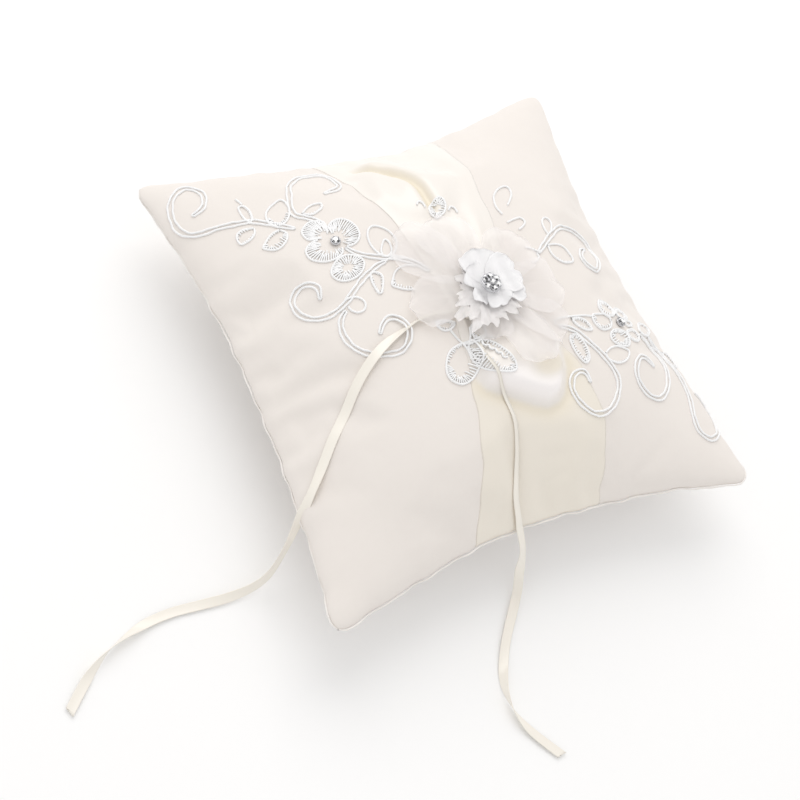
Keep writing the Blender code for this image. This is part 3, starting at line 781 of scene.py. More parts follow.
def smoothRoute(points, step):
    # points about a step apart on a smooth curve through the given ones
    route, last = [], len(points) - 1
    for i in range(last):
        p0, p1, p2, p3 = points[max(i - 1, 0)], points[i], points[i + 1], points[min(i + 2, last)]
        count = max(1, round(math.dist(p1[:3], p2[:3]) / step))
        for k in range(count):
            t = k / count
            route.append(tuple(0.5 * (2 * b + (c - a) * t + (2 * a - 5 * b + 4 * c - d) * t * t
                                      + (3 * b - a - 3 * c + d) * t ** 3) for a, b, c, d in zip(p0, p1, p2, p3)))
    route.append(tuple(points[last]))
    return route


def signedDistance(x, y, line):
    # from a drawn line, and above zero on its left
    best, side = 1e9, 1.0
    for (ax, ay), (bx, by) in zip(line, line[1:]):
        dx, dy = bx - ax, by - ay
        t = max(0.0, min(1.0, ((x - ax) * dx + (y - ay) * dy) / (dx * dx + dy * dy)))
        away = math.hypot(x - ax - t * dx, y - ay - t * dy)
        if away < best:
            best = away
            side = 1.0 if dx * (y - ay) - dy * (x - ax) > 0 else -1.0
    return best * side


# ---- the satin band ----

bandSizes = {
    "edges": pointsIn("""
        89 -23 35.5, 62 -20 31.5, 40 -16 27, 15 -14 22, 0 -13 20, -20 -15.5 24, -40 -20 33, -60 -24.5 35,
        -75 -28.5 32, -88 -31.5 28.5"""),
    "rows": 190,
    "columns": 70,
    "lift": 0.2,
    "wall": 0.2 * mm,
    "upperFold": pointsIn("-12 80, -9 77, -5.8 73.3, -2.4 69.7, 0.4 65.2, 2.2 60.5, 2.9 54.6, 2.6 48.6, 2.1 43"),
    "foldMiddle": (0.4, 62.0),
    "foldDepth": 3.4,
    "swag": pointsIn("""
        -18 -22, -15.6 -31, -13.2 -36.5, -9.3 -39.3, -4.9 -42.2, -0.3 -45.1, 4.7 -48.1, 9.8 -50.2, 15.1 -49.5,
        18.7 -47.1, 21.6 -42.8, 24.5 -37.3, 26 -28, 26 -16"""),
    "swagRise": 6.5,
    "pleatRise": 0.75,
}


def bandEdge(y, column):
    rows = sorted(bandSizes["edges"])
    y = max(rows[0][0], min(rows[-1][0], y))
    for low, high in zip(rows, rows[1:]):
        if y <= high[0]:
            t = (y - low[0]) / (high[0] - low[0])
            return low[column] + (high[column] - low[column]) * (3 * t * t - 2 * t ** 3)


def bandRelief(x, y):
    # how far the loose satin stands off the cover, in millimetres
    s = (x - bandEdge(y, 1)) / (bandEdge(y, 2) - bandEdge(y, 1))
    inward = ramp(0.0, 0.15, min(s, 1 - s))
    pleats = bandSizes["pleatRise"] * bell(y, 26) * (1 + math.sin(s * 34 + 0.6 * math.sin(y * 0.13)))
    # the pulled fold near the far edge: one narrow valley through a low swell
    d = signedDistance(x, y, bandSizes["upperFold"])
    upper = (2.4 * bell(d, 15) - bandSizes["foldDepth"] * bell(d, 2.3)) * ramp(26, 16, foldAway(x, y))
    # the bag of satin below the flower
    d = signedDistance(x, y, bandSizes["swag"])
    lower = bandSizes["swagRise"] * ramp(-0.4, 6.5, d) * ramp(-9, -30, y)
    lower -= 0.7 * bell(d + 2.2, 2.0) * ramp(-22, -30, y)
    low = 0.7 * math.sin(s * 9 + 1.2) * bell(y + 68, 16)
    sewn = ramp(1.0, 0.86, abs(y) / 90.0)
    return max(0.0, (pleats + upper + lower + low + 0.5) * inward * sewn)


def foldAway(x, y):
    return math.dist((x, y), bandSizes["foldMiddle"])


def bandPaintedShading(x, y):
    # painted shade above zero, warmer, in the folds and below the bag of satin; painted light below zero on the bag
    fold = bell(signedDistance(x, y, bandSizes["upperFold"]), 2.6) * ramp(27, 14, foldAway(x, y))
    d = signedDistance(x, y, bandSizes["swag"])
    below = (0.36 + 0.3 * bell(d + 2, 3.5)) * ramp(0.5, -2.0, d) * ramp(-26, -36, y)
    paintedShadow = math.exp(-math.hypot((x - 14) / 9, (y + 36) / 5) ** 4)      # painted shadow below the sheer petals' tip
    # painted light on the bag's top, which faces the light
    paintedLight = ramp(-1.0, 4.0, d) * bell(d - 3, 11) * ramp(-26, -36, y)
    return min(1.0, 0.85 * fold + below + 0.5 * paintedShadow) - paintedLight * (1 - paintedShadow)


def makeBand():
    half, pull = cushionSizes["half"] / mm, cushionSizes["edgePull"] / mm
    rows, columns = bandSizes["rows"], bandSizes["columns"]
    points, uvs, paintedShading = [], [], []
    for i in range(rows + 1):
        t = (2 * i / rows - 1) * 0.99
        v = math.sin(t * math.pi / 2)
        for j in range(columns + 1):
            s = j / columns
            y = v * (half - pull)
            x = bandEdge(y, 1) + (bandEdge(y, 2) - bandEdge(y, 1)) * s
            for step in range(4):
                u = shares(x * mm, y * mm)[0]
                y = v * (half - pull * (1 - u * u))
            point, normal = seatOn(coverTree, x * mm, y * mm, (bandSizes["lift"] + bandRelief(x, y)) * mm)
            points.append(point)
            uvs.append((s * 0.055, t * 0.11))
            paintedShading.append(bandPaintedShading(x, y))
    mesh = smoothMesh("satinBand", points, gridFaces(rows + 1, columns + 1))
    setUvs(mesh, "clothMap", uvs)
    # painted shade and painted light for the band's colour
    mesh.attributes.new("paintedShadeAndLight", "FLOAT", "POINT").data.foreach_set("value", np.array(paintedShading, np.float32))
    band = newObject("satinBand", mesh, materials["bandSatin"])
    return thickened(band, bandSizes["wall"], -1)


band = makeBand()
topTree = treeOf(cushion, band)
belongs(band, "band_satin", "satin_band")
print("band laid")


def onTop(x, y, lift):
    # a point this far above the band or the cover, all in millimetres, and the front's normal there
    return seatOn(topTree, x * mm, y * mm, lift * mm)


# ---- the ribbons ----

ribbonSizes = {
    "width": 4.0 * mm,
    "wall": 0.3 * mm,
    "step": 1.2 * mm,
    "bandTop": 0.9,              # how far the band already lifts the ribbon
    "onEdge": 0.6,               # share of its half width that it stands up by when it is turned on edge
    "slant": 1.1 * mm,           # of the cut end
    "exit": (-7.5 * mm, -6 * mm, 65.3 * mm),
    "left": {
        "over": pointsIn("""
            -11 -4.2 1.4, -17 -2.6 1.4, -24 -2 1.3, -30 -2.6 0.7, -35 -4 0.7, -43 -6.5 1.6, -50 -10 2.2, -56 -14 2,
            -62 -19 1.2, -69 -26 0.7, -76 -33 0.8, -83 -41 1.1, -89 -48.5 1.3"""),
        "turns": (60, 62, 62, 62, 52, 22, 4, 0, 0, 0, 0, 0, 10),
        "wide": (0.4, 0.4, 0.42, 0.5, 0.66, 0.92),
        "free": pointsIn("""
            -96.5 -55.5 28.5 -25, -100.5 -60 22 -48, -103.5 -63 13 -56, -107.5 -65.5 6.4 -54, -114 -67 3.2 -48,
            -124 -67.2 1.6 -28, -135 -66.2 0.8 -8, -147 -65.2 0.6 0, -158 -66 0.9 10, -168 -68.5 1.9 60,
            -176 -71.5 2.4 90, -183 -75.5 1.9 130, -189 -80 0.9 170, -198 -88 0.6 180"""),
    },
    "right": {
        "over": pointsIn("""
            -8 -10.5 1.4, -9.5 -17 1.4, -11 -24 1.4, -9.5 -32 1.4, -7.5 -41 1.5, -7 -51 1.5, -8 -61 1.5,
            -10 -71 1.6, -12 -79 1.8, -12 -86 2.2, -11.5 -89.5 2.4"""),
        "turns": (40, 45, 40, 30, 30, 30, 28, 22, 12, 0, 0),
        "wide": (0.36, 0.36, 0.34, 0.34, 0.35, 0.38, 0.42, 0.48, 0.58, 0.7, 0.8, 0.88),
        "free": pointsIn("""
            -10.5 -93.5 27 0, -8.5 -96 19 15, -7.5 -99.5 10 30, -8.5 -105 3.6 30, -14 -112.5 1.5 12, -21 -121 0.7 0,
            -27 -129.5 0.8 10, -31 -136.5 1.7 50, -33 -143.5 2.4 90, -32.5 -151 1.7 130, -29 -160 0.8 170,
            -21.5 -172.5 0.6 180"""),
    },
}


def ribbonRows(side):
    # (place, the way the ribbon's face looks) at each drawn point
    rows = []
    wide = ribbonSizes[side]["wide"]
    for (x, y, lift), turn in zip(ribbonSizes[side]["over"], ribbonSizes[side]["turns"]):
        onBand = bandEdge(y, 1) < x < bandEdge(y, 2)
        share = wide[len(rows)] if len(rows) < len(wide) else 1.0
        stand = ribbonSizes["width"] / 2 * share * abs(math.sin(math.radians(turn))) * ribbonSizes["onEdge"]
        stand += (lift - (ribbonSizes["bandTop"] if onBand else 0)) * mm
        point, normal = seatOn(topTree, x * mm, y * mm, stand)
        rows.append((point, normal, turn))
    for x, y, z, turn in ribbonSizes[side]["free"]:
        rows.append((Vector((x, y, z)) * mm, None, turn))
    spots = [row[0] for row in rows]
    found = []
    for i, (point, normal, turn) in enumerate(rows):
        tangent = (spots[min(i + 1, len(spots) - 1)] - spots[max(i - 1, 0)]).normalized()
        if normal is None:
            level = tangent.cross(Vector((0, 0, 1)))
            normal = level.cross(tangent).normalized()
        normal = (normal - tangent * normal.dot(tangent)).normalized()
        normal.rotate(Matrix.Rotation(math.radians(turn), 3, tangent))
        found.append((*point, *normal, wide[i] if i < len(wide) else 1.0))
    return found


def makeRibbon(side):
    width, wall = ribbonSizes["width"], ribbonSizes["wall"]
    route = smoothRoute(ribbonRows(side), ribbonSizes["step"])
    outline = [(-1, 0.0), (-0.93, 0.62), (-0.82, 0.42), (0, 0.5), (0.82, 0.42), (0.93, 0.62),
               (1, 0.0), (0.93, -0.62), (0.82, -0.42), (0, -0.5), (-0.82, -0.42), (-0.93, -0.62)]
    points, uvs, centres = [], [], [Vector(r[:3]) for r in route]
    far = 0.0
    for i, r in enumerate(route):
        tangent = (centres[min(i + 1, len(route) - 1)] - centres[max(i - 1, 0)]).normalized()
        normal = Vector(r[3:6])
        normal = (normal - tangent * normal.dot(tangent)).normalized()
        across = tangent.cross(normal)
        far += (centres[i] - centres[max(i - 1, 0)]).length
        last = i == len(route) - 1
        for a, h in outline:
            slant = tangent * (a * ribbonSizes["slant"]) if last else Vector()
            points.append(centres[i] + across * (a * width / 2 * r[6]) + normal * (h * wall / r[6]) + slant)
            uvs.append((a * width / 2 + (width if h < 0 else 0), far))
    count = len(outline)
    faces = [face[::-1] for face in gridFaces(len(route), count, closed=True)]
    faces += [tuple(range(count)), tuple(reversed(range(len(points) - count, len(points))))]
    mesh = smoothMesh("ribbon_" + side, points, faces)
    setUvs(mesh, "clothMap", uvs)
    ribbon = newObject("ribbon" + side.capitalize(), mesh, materials["ribbonSatin"])
    fixNormals(ribbon)
    belongs(ribbon, "ribbon_satin", "ribbon_" + side)


makeRibbon("left")
makeRibbon("right")


# ---- lace ----

laceSizes = {
    "radius": 0.49 * mm,         # of one plied cord
    "stitch": 0.32 * mm,         # radius of a filling thread
    "stitchArch": 0.3 * mm,
    # in millimetres, as the drawn points are
    "apart": 0.86,               # each cord of a pair from their middle line
    "apartAtEnds": 0.42,
    "seat": 0.34,
    "step": 0.6,
    "stitchPitch": 1.05,
    "overRibbon": 1.5,           # how far the middle sprig rises over the ribbon
}

# middle lines of the paired cords, in millimetres
leftPairs = routesIn("""
-86 77.5, -80.5 80, -78 86.5, -82 91.5, -87 90.5, -91.2 86.5, -93 81, -92.8 75, -90.5 70.6, -86.5 68.6, -80 68,
-72 66.5, -67 65, -62 61, -58 57.5, -54.2 54;
-43.5 51, -45 53.8, -47.5 56.6, -51 60.5, -50.5 65, -48 70.5, -45 76, -40 79.5, -35 81, -30 80.5, -26.5 78,
-24.8 74.5, -25.5 70, -29 67, -35 65.5;
-40.5 37.5, -38 34, -34 31, -28 28, -23 26, -18 22, -14 17;
-29 26.3, -33 25.6, -40 22.5, -46 18.7, -51 15.2, -58 13, -64 14.4, -68.2 19, -68.5 25, -65 28.6, -61 28.6, -58 25.4,
-59 20.8;
-52.5 12, -55.9 8.6, -57.3 3, -56 -3, -52 -8, -46 -10.7, -40 -11.6, -35.4 -8.6 0.6, -33.4 -3.6 1.1, -35.2 1 0.5,
-38.5 2.9, -42 1.2, -44.5 -2""")
rightPairs = routesIn("""
38.4 12.6, 40 13.7, 45 17, 49 19.5, 55 22.5, 60 23.5, 66 23, 71 20, 74 15, 73 8, 69 3, 65 1.5, 61 4, 60 8, 62.5 11,
66 12;
30.4 -20.8, 33.7 -22.2, 37.4 -24.7, 40.2 -28.6, 44 -34.4, 47 -41, 48 -47, 46 -52, 41 -57, 35 -59, 29 -57.5,
24.5 -52.5, 23.5 -47, 26 -42.3, 30 -40.8, 33 -42, 33.5 -46;
73.5 -31.5, 76.5 -33.5, 78.5 -37.5, 79.5 -43, 78 -50, 74 -56, 68 -59, 62 -56.5, 59 -50.5, 60 -45, 64 -41, 68 -41.5,
71 -45.5;
80 -31, 84 -38, 85.5 -46, 86.5 -54, 86 -62, 84 -69, 83.8 -75.5, 88.5 -80, 94 -78.6, 95.6 -74, 95.4 -68, 94.2 -62.5,
92 -59""")

# single cords that are left open
leftSingles = routesIn("""
-67.6 78.3, -67.1 76.8, -66.5 75;
-28.5 29.2, -28 31.6, -26.3 34, -24.2 35.9, -23.2 34.2, -23.6 31.3, -24.6 29.4, -26.8 28.1;
-18.6 20.6, -21 21.8, -23.9 22, -27.2 20.7, -29.5 18.2, -31.2 15.6, -29.5 13.8, -26.8 11.9, -23.6 10.8;
-52.2 15.4, -50.8 16.2, -48.5 16.4, -46 15.4, -44.5 13.3, -44.7 11, -46.3 9.4, -48.7 9.4, -50.4 11.1, -50.9 13.2;
-29.3 26.1, -26 27.2, -22.7 25.9, -19.6 24.5, -16.4 21.9, -14.2 18.2;
-42.1 47.4, -42.6 48.7, -41.3 50, -39.2 51, -36.3 51, -33.6 49.1, -32.1 45.7, -32.2 42.5, -33.3 40.2, -35.5 38.4,
-38 37.8, -39.7 38.2;
-43.4 46.9, -43.4 48.2, -42.9 50.2, -43.1 52, -44.4 53.2, -47.2 54.2, -49.1 53.9, -51.5 52.5, -52.8 50.9, -52.9 48.7,
-52.2 46.6, -50.6 45.7, -49 45.8;
-49 44.8, -51.3 44.7, -53.7 43.6, -55.3 42.1, -55.7 39.7, -55 37.4, -53 35.7, -50.4 34.5, -47.4 34.2, -44.6 34.8,
-42.5 36.2, -42 38""")
rightSingles = routesIn("""
31.8 33.8, 31.1 37.6, 32.1 41.2, 33.7 43.7, 37.2 46.2, 41.1 47.2, 43 45.9, 42.3 42.7, 39.4 39.6, 37 37.6;
31.7 29.4, 35.9 30.3, 39.2 30.5, 40.5 28.2, 37.7 26, 35.3 25.1;
33 16.4, 36.3 15, 38.4 13.2, 40.7 13.4;
37.2 12.7, 37.3 10.6, 34.5 8.9, 32.4 9.3;
29.2 -19.8, 28.7 -18.6, 31.2 -17.7, 35.3 -17.7, 39.7 -18.1, 45.3 -18.8, 48.9 -19.8;
72.9 -30, 75.1 -32, 77 -34.4, 80.7 -36.3, 85 -38""")

# closed outlines of the leaves and the flowers' petals
leftLeaves = leavesIn("""
-67.8 64.9, -68.9 67.1, -69.2 70.1, -68.8 73.4, -68 74.2, -66.5 73.8, -65.7 71.9, -65.6 69.5, -66.3 66.4 /
0.5 0.9 0.3 / -67.6 68, -67.2 72;
-59.5 58.4, -61.3 60.1, -61.8 62.6, -60.6 66.1, -58 68.4, -54.5 69.9, -52.1 70.3, -51.1 68.1, -51.3 64.9, -52.6 61.9,
-54.8 59.4, -57.5 58.2 / 0 0.2 0.4, 0.75 1 0.35 / -57.5 62, -54 67;
-68.1 61.7, -71 62.6, -73.1 62.6, -75 61.5, -75.7 59.3, -75.3 56.9, -73.7 56.7, -71.4 57.1, -69.5 58.2, -68.1 60.2 /
0.1 0.45 0.4, 0.6 0.9 0.3 / -70 60.6, -74 58.6;
-59.8 56.1, -62.5 55.8, -65.2 54.4, -67.9 52.1, -68.8 51, -67.2 49.2, -65.3 48, -62.8 48, -59.9 49.8, -58.2 52.1,
-58.2 54.1 / 0.36 0.92 0.6, 0.05 0.3 0.3 / -60.5 54, -66 51.4;
-48.1 59.7, -44.9 61.5, -42 61.9, -39.2 60.9, -40.1 58.9, -42.5 57.8, -44.9 57.4, -47 58.5 / 0.5 0.9 0.3 / -46 59.6,
-41.5 59.9;
-43.7 34.4, -46.8 33.2, -49.8 30.7, -50.9 28.3, -50.2 25.9, -48.5 24.3, -45.7 23.5, -42 24, -38.8 26, -37 28.6,
-37.1 31, -39 33, -41.3 34.2 / 0 1 0.62 / -44.4 29, -43 29.2;
-28.6 28.9, -30.1 31.8, -30.7 35.6, -29.8 39.8, -27.8 42.6, -25.4 43.4, -22.8 41.9, -20.8 39.3, -19.9 36.1,
-20.2 33.1, -22 30.3, -24.3 28.5, -26.8 28.1 / /;
-36.8 23.5, -37.8 20.6, -38 17.4, -37.7 14.1, -36.4 14, -34.9 16.2, -33.3 19.3, -33.1 21.4, -34.5 23 / 0.1 0.55 0.4,
0.65 0.95 0.35 / -35.4 21, -36.6 16.4""")
leftFills = leavesIn("""
-29.5 18.2, -31.2 15.6, -29.5 13.8, -26.8 11.9, -23.6 10.8 / 0.1 0.95 0.42 / -27.5 17.2, -24 14.6;
-42.6 48.7, -41.3 50, -39.2 51, -36.3 51, -33.6 49.1, -32.1 45.7, -32.2 42.5, -33.3 40.2, -35.5 38.4, -38 37.8 /
0 1 0.56 / -42.4 43.4, -41.4 42;
-43.4 48.2, -42.9 50.2, -43.1 52, -44.4 53.2, -47.2 54.2, -49.1 53.9, -51.5 52.5, -52.8 50.9, -52.9 48.7, -52.2 46.6,
-50.6 45.7 / 0 1 0.55 / -44.6 44.6, -44 43.4;
-51.3 44.7, -53.7 43.6, -55.3 42.1, -55.7 39.7, -55 37.4, -53 35.7, -50.4 34.5, -47.4 34.2, -44.6 34.8, -42.5 36.2 /
0 1 0.56 / -46.6 41.2, -44 40""")
rightLeaves = leavesIn("""
48.6 20.1, 48.2 22.4, 48.4 25, 49.6 27.5, 51.7 28.6, 53.1 27.6, 53.3 25.3, 51.1 22 / /;
45 15.4, 48.9 15.3, 52 14, 53.4 11.5, 54.1 7.2, 52.5 5.7, 48.8 6.1, 46.1 8.1, 44.7 11.2 / 0.55 0.8 0.2 / 47 12.4,
51.6 8.4;
37.8 -19.1, 40.6 -19.1, 43.7 -20.3, 45.2 -22.6, 45.6 -25.3, 42.5 -24.9, 39.8 -22.9, 38.3 -20.7 / 0 1 0.5 /
39.4 -20.4, 44 -23.8;
60.2 -21.3, 56.5 -20.6, 54.7 -18, 55 -15.3, 57.5 -13.1, 62 -13.9, 64 -15.8, 63.8 -18, 61.8 -20.3 / 0 1 0.55 /
60.5 -19, 58 -16;
63.1 -20.3, 63.8 -18.4, 66 -16.9, 69.2 -16.4, 72 -17.6, 72.7 -19.9, 71.1 -21.9, 67.9 -23, 65.2 -22.9 / 0 1 0.55 /
65.4 -21.4, 69.4 -19.4;
57.5 -23.4, 56.1 -25.6, 53.7 -26.6, 50.6 -26.1, 48.9 -23.9, 48.3 -21.5, 49.2 -19.3, 50.6 -19.1, 54.6 -19.6,
57.2 -21 / 0.1 0.6 0.5, 0.8 1 0.3 / 55.4 -23, 51.4 -22.4;
56.5 -27.2, 54.3 -28.5, 53.3 -30.6, 54.1 -32.7, 56.6 -34.5, 59.8 -35.3, 61.7 -34.3, 62.8 -31.7, 62 -29.3,
59.8 -27.8 / 0 1 0.6 / 57.6 -29.4, 58.4 -32.4;
63.5 -28.7, 66.1 -28.1, 69.1 -27.8, 70.8 -29.5, 71.5 -31.5, 69 -33.4, 65.9 -33.3, 63.6 -31.8, 63 -30.2 / 0 1 0.4 /
65.4 -30, 68.6 -31.2;
65.8 -24.2, 68.8 -23.4, 71.1 -24.3, 70.5 -25.9, 67.9 -26.4, 66 -25.9 / 0.1 0.9 0.4 / 67 -25, 69 -24.8;
47.2 -36.1, 50.5 -34.6, 54.1 -34.4, 57.4 -35.7, 59.4 -37.5, 58.1 -39.6, 55.2 -41.2, 51.5 -41.4, 48.8 -40.2,
46.9 -38.3 / 0.55 0.8 0.15 / 50 -38, 56 -38;
33.7 -25.6, 32.4 -27.2, 32.2 -30.1, 32.5 -33.1, 33.6 -36.2, 35.3 -38.2, 37.7 -37, 38.7 -34.3, 38.9 -31.4, 38 -27.9,
36.3 -25.9 / 0 1 0.55 / 35 -28.4, 36.2 -34.6;
74.5 -28.8, 75.1 -27, 77.5 -24.6, 81.5 -23.4, 85 -24.4, 85.3 -26.6, 82.5 -29, 79.5 -30.6, 76.3 -30.2 / 0 1 0.35 /
77.4 -28, 82 -26;
86 -38, 89.2 -38.6, 90.6 -41.6, 89.6 -45.4, 87 -45, 85.4 -41.4 / 0.1 0.5 0.3 / 87 -40, 88.4 -43.4""")
centreLeaves = leavesIn("""
-12.2 -17.3, -16.6 -16.8, -21.2 -18, -24.4 -21.2, -26.4 -25.7, -25.8 -29.4, -22.5 -32.1, -18.3 -31.8, -14.4 -29.2,
-11.9 -25.3, -11.6 -20.1 / 0.34 0.9 0.56, 0.06 0.3 0.24 / -14.6 -20.4, -21.6 -27;
-13.6 -18.2, -8 -19.5, -4.5 -22.3, -1.9 -26.9, -1 -31.4, -2.3 -34.2, -7.2 -33.4, -12 -30.5, -14.3 -25.9,
-14.5 -21.3 / 0.44 0.96 0.58, 0.04 0.42 0.3 / -12 -20.8, -4.6 -31.2;
-21.7 -4.8, -18 -5.5, -14.5 -7.6, -16.8 -9.6, -19.9 -9.5, -21.9 -7 / 0 1 0.55 / -20 -7.2, -17 -7.8;
-11.2 -17.2, -10.7 -14.2, -9.4 -11.5, -5.5 -11.2, -5.2 -15.4, -8.5 -18.4 / 0 0.6 0.5 / -8.6 -15.8, -8 -13;
1.3 37.9, -0.5 40.6, 1.4 44.6, 6.2 46.7, 8.2 44.4, 6.2 40.4 / 0 1 0.7 / 2.8 41, 4.6 43.6""")
centreSingles = routesIn("""
-17.5 -10, -16.4 -14.2, -14.8 -18, -14.4 -22, -14.5 -26;
-10.4 -12, -12 -15.8, -13.9 -19.4, -13.8 -23, -13 -26.6;
-14.8 -17.6, -11.6 -17.6, -7 -17.4, -3.8 -19;
-4.3 45.6, -3.4 46.8, -1.9 46.2, -1.5 43.8;
8.2 40.4, 9.6 41.8, 11.4 40.9, 11.6 38.6""")
centreZigzags = (((-10.4, -20), (-3.8, -29), 8, 1.3),)


def laceSeat(x, y, extra=0.0):
    # the middle sprig lies over the ribbon that leaves towards the near edge
    if -26 < x < 4 and -34 < y < -4:
        route = [spot[:2] for spot in ribbonSizes["right"]["over"][:5]]
        extra += laceSizes["overRibbon"] * bell(signedDistance(x, y, route), 2.6) * ramp(-33, -25, y)
    return onTop(x, y, laceSizes["seat"] + extra)


def pairRoute(drawn):
    # a pair of cords is one cord laid out and back
    line = smoothRoute([(*p, 0.0)[:3] for p in drawn], laceSizes["step"])
    apart, ends = laceSizes["apart"], laceSizes["apartAtEnds"]
    sides = {1: [], -1: []}
    for i, (x, y, extra) in enumerate(line):
        ax, ay = line[max(i - 1, 0)][:2]
        bx, by = line[min(i + 1, len(line) - 1)][:2]
        size = math.hypot(bx - ax, by - ay) or 1.0
        far = min(i, len(line) - 1 - i) * laceSizes["step"]
        away = ends + (apart - ends) * min(1.0, far / 6.0)
        away *= 1 + 0.13 * math.sin(i * 0.37) + 0.08 * math.sin(i * 0.83 + 1)
        for side in sides:
            out = away * side / size
            sides[side].append(laceSeat(x - (by - ay) * out, y + (bx - ax) * out, extra)[0])
    return sides[1] + sides[-1][::-1], True


def singleRoute(drawn, closed=False):
    drawn = [(*p, 0.0)[:3] for p in drawn]
    line = smoothRoute(drawn + drawn[:1] if closed else drawn, laceSizes["step"])
    return [laceSeat(x, y, h)[0] for x, y, h in (line[:-1] if closed else line)], closed


def nearestOn(line, x, y):
    (ax, ay), (bx, by) = line
    dx, dy = bx - ax, by - ay
    t = max(0.0, min(1.0, ((x - ax) * dx + (y - ay) * dy) / (dx * dx + dy * dy)))
    return ax + dx * t, ay + dy * t


def fillThreads(drawn, parts, goal, closed=True):
    pitch = laceSizes["stitchPitch"]
    line = smoothRoute([(*p, 0.0) for p in (list(drawn) + [drawn[0]] if closed else drawn)], pitch)
    threads = []
    for first, last, reach in parts:
        for i in range(int(first * len(line)), int(last * len(line))):
            x, y = line[i][:2]
            gx, gy = nearestOn(goal, x, y)
            share = reach * (1 + 0.22 * math.sin(i * 2.4) + 0.1 * math.sin(i * 5.1))
            inset = 0.3 / max(math.hypot(gx - x, gy - y), 0.5)
            share = max(share, inset + 0.1)
            root, up = laceSeat(x + (gx - x) * inset, y + (gy - y) * inset, 0.02)
            end = laceSeat(x + (gx - x) * share, y + (gy - y) * share, -0.16)[0]
            threads.append((root, end, up))
    return threads


def makeLace(name, pairs, singles, leaves, fills, nodes, zigzags=()):
    routes = [pairRoute(p) for p in pairs] + [singleRoute(p) for p in singles]
    routes += [singleRoute(outline, closed=True) for outline, parts, goal in leaves]
    for (ax, ay), (bx, by), count, wide in zigzags:
        size = math.hypot(bx - ax, by - ay)
        nx, ny = -(by - ay) / size, (bx - ax) / size
        spots = [(ax + (bx - ax) * k / count + nx * wide * (-1) ** k * 0.5,
                  ay + (by - ay) * k / count + ny * wide * (-1) ** k * 0.5) for k in range(count + 1)]
        routes.append(singleRoute(spots))
    cords = cordsAlong(name + "Cords", routes, laceSizes["radius"])
    threads = []
    for outline, parts, goal in leaves:
        threads += fillThreads(outline, parts, goal)
    for outline, parts, goal in fills:
        threads += fillThreads(outline, parts, goal, closed=False)
    stitches = threadsAt(name + "Stitches", threads, laceSizes["stitch"], laceSizes["stitchArch"])
    belongs(cords, "lace_thread", *["lace_" + node for node in nodes.split()])
    belongs(stitches, "lace_thread")
    print(name, "has", len(routes), "cords and", len(threads), "filling threads,",
          len(cords.data.polygons) + len(stitches.data.polygons), "faces")


makeLace("leftLace", leftPairs, leftSingles, leftLeaves, leftFills, """
left_stem_outer left_scroll_upper left_stem_inner left_branch left_scroll_lower left_bud left_leaf_upper
left_leaf_small left_leaf_lower left_leaf_inner left_oval left_leaf_open left_drop left_leaf_half flower_left""")
makeLace("rightLace", rightPairs, rightSingles, rightLeaves, (), """
right_branch right_scroll_inner right_scroll_outer corner_scroll right_leaf_upper right_bud right_leaf_small
right_leaf_middle right_leaf_inner right_leaf_stitched right_oval flower_right""")
makeLace("centreLace", (), centreSingles, centreLeaves, (),
         "centre_stem centre_leaf_left centre_leaf_right top_petal", centreZigzags)
# ---- the flower ----

# each petal's tip x and y, width, rise, curl and seed, in millimetres from the pillow's middle
organzaPetals = (
    (13, -34, 23, 1.6, 1.2, 0.4), (31, -24, 22, 2.2, 1.1, 1.9), (38, -6, 25, 3.0, 1.0, 3.1),
    (30, 22, 24, 3.6, 1.2, 4.4), (-4, 36.5, 25, 4.2, 1.3, 5.2), (-22, 34, 24, 4.8, 1.1, 0.9),
    (-29, 4, 21, 5.3, 1.0, 2.6), (-4, -21, 17, 4.4, 0.9, 1.2),
)
lowerPetals = (
    (-13.6, -2.5, 8, 6.4, 1.0, 0.2), (-15.4, -10.5, 8, 6.8, 0.8, 1.1), (-12.5, -14.5, 6.5, 6.4, 0.9, 2.3),
    (-6.8, -17.0, 8, 6.9, 1.1, 3.7), (0.6, -15, 9, 6.5, 0.9, 4.1), (7.8, -13.6, 10, 6.9, 1.0, 5.6),
    (13.5, -8, 10, 6.2, 0.8, 0.7), (14, 3, 11, 6.4, 0.8, 1.6), (8, 12, 12, 6.2, 0.8, 2.9),
    (-2, 12, 12, 6.4, 0.8, 3.3), (-9, 6.5, 10, 6.2, 0.8, 4.8),
)
upperPetals = (
    (3.5, 15.2, 17, 7.9, 1.0, 0.3), (-4.2, 8.4, 12, 7.6, 0.7, 0.8), (-5.8, -5.2, 7.5, 7.7, 0.0, 5.1),
    (13.8, 9.8, 11, 8.3, 0.7, 1.4), (15.0, -7.4, 8.6, 8.5, -0.5, 3.6), (17.0, -1.0, 9.6, 8.8, -0.4, 2.2),
    (4.6, -9.2, 11.5, 8.7, -0.6, 4.5),
)
flowerSizes = {
    "middle": (2.0, 0.0),
    "rootWidth": 4.5,
    "wall": 0.12 * mm,
    "settle": 1.3,               # an organza petal's tip comes down to this above the cloth
    "lowest": 0.9,               # of any petal above the cloth
    "cutShare": 0.7,             # of the flat square that a petal's outline takes up
}
petalKinds = {
    # profile of the outline, then frill height and count, teeth depth and count, and the way the tip lifts
    "organza": {"rows": 30, "columns": 26, "swell": 1.1, "tipTaper": 0.42, "frill": 0.65, "waves": 5.5,
                "teeth": 0.022, "teethCount": 7, "cup": 0.7, "look": "organza"},
    "lower": {"rows": 18, "columns": 14, "swell": 0.9, "tipTaper": 0.62, "frill": 0.5, "waves": 3.5,
              "teeth": 0.085, "teethCount": 9, "cup": 0.3, "look": "frayed"},
    "upper": {"rows": 20, "columns": 18, "swell": 0.75, "tipTaper": 0.36, "frill": 0.3, "waves": 2.6,
              "teeth": 0.03, "teethCount": 6, "cup": 0.35, "look": "petal"},
}


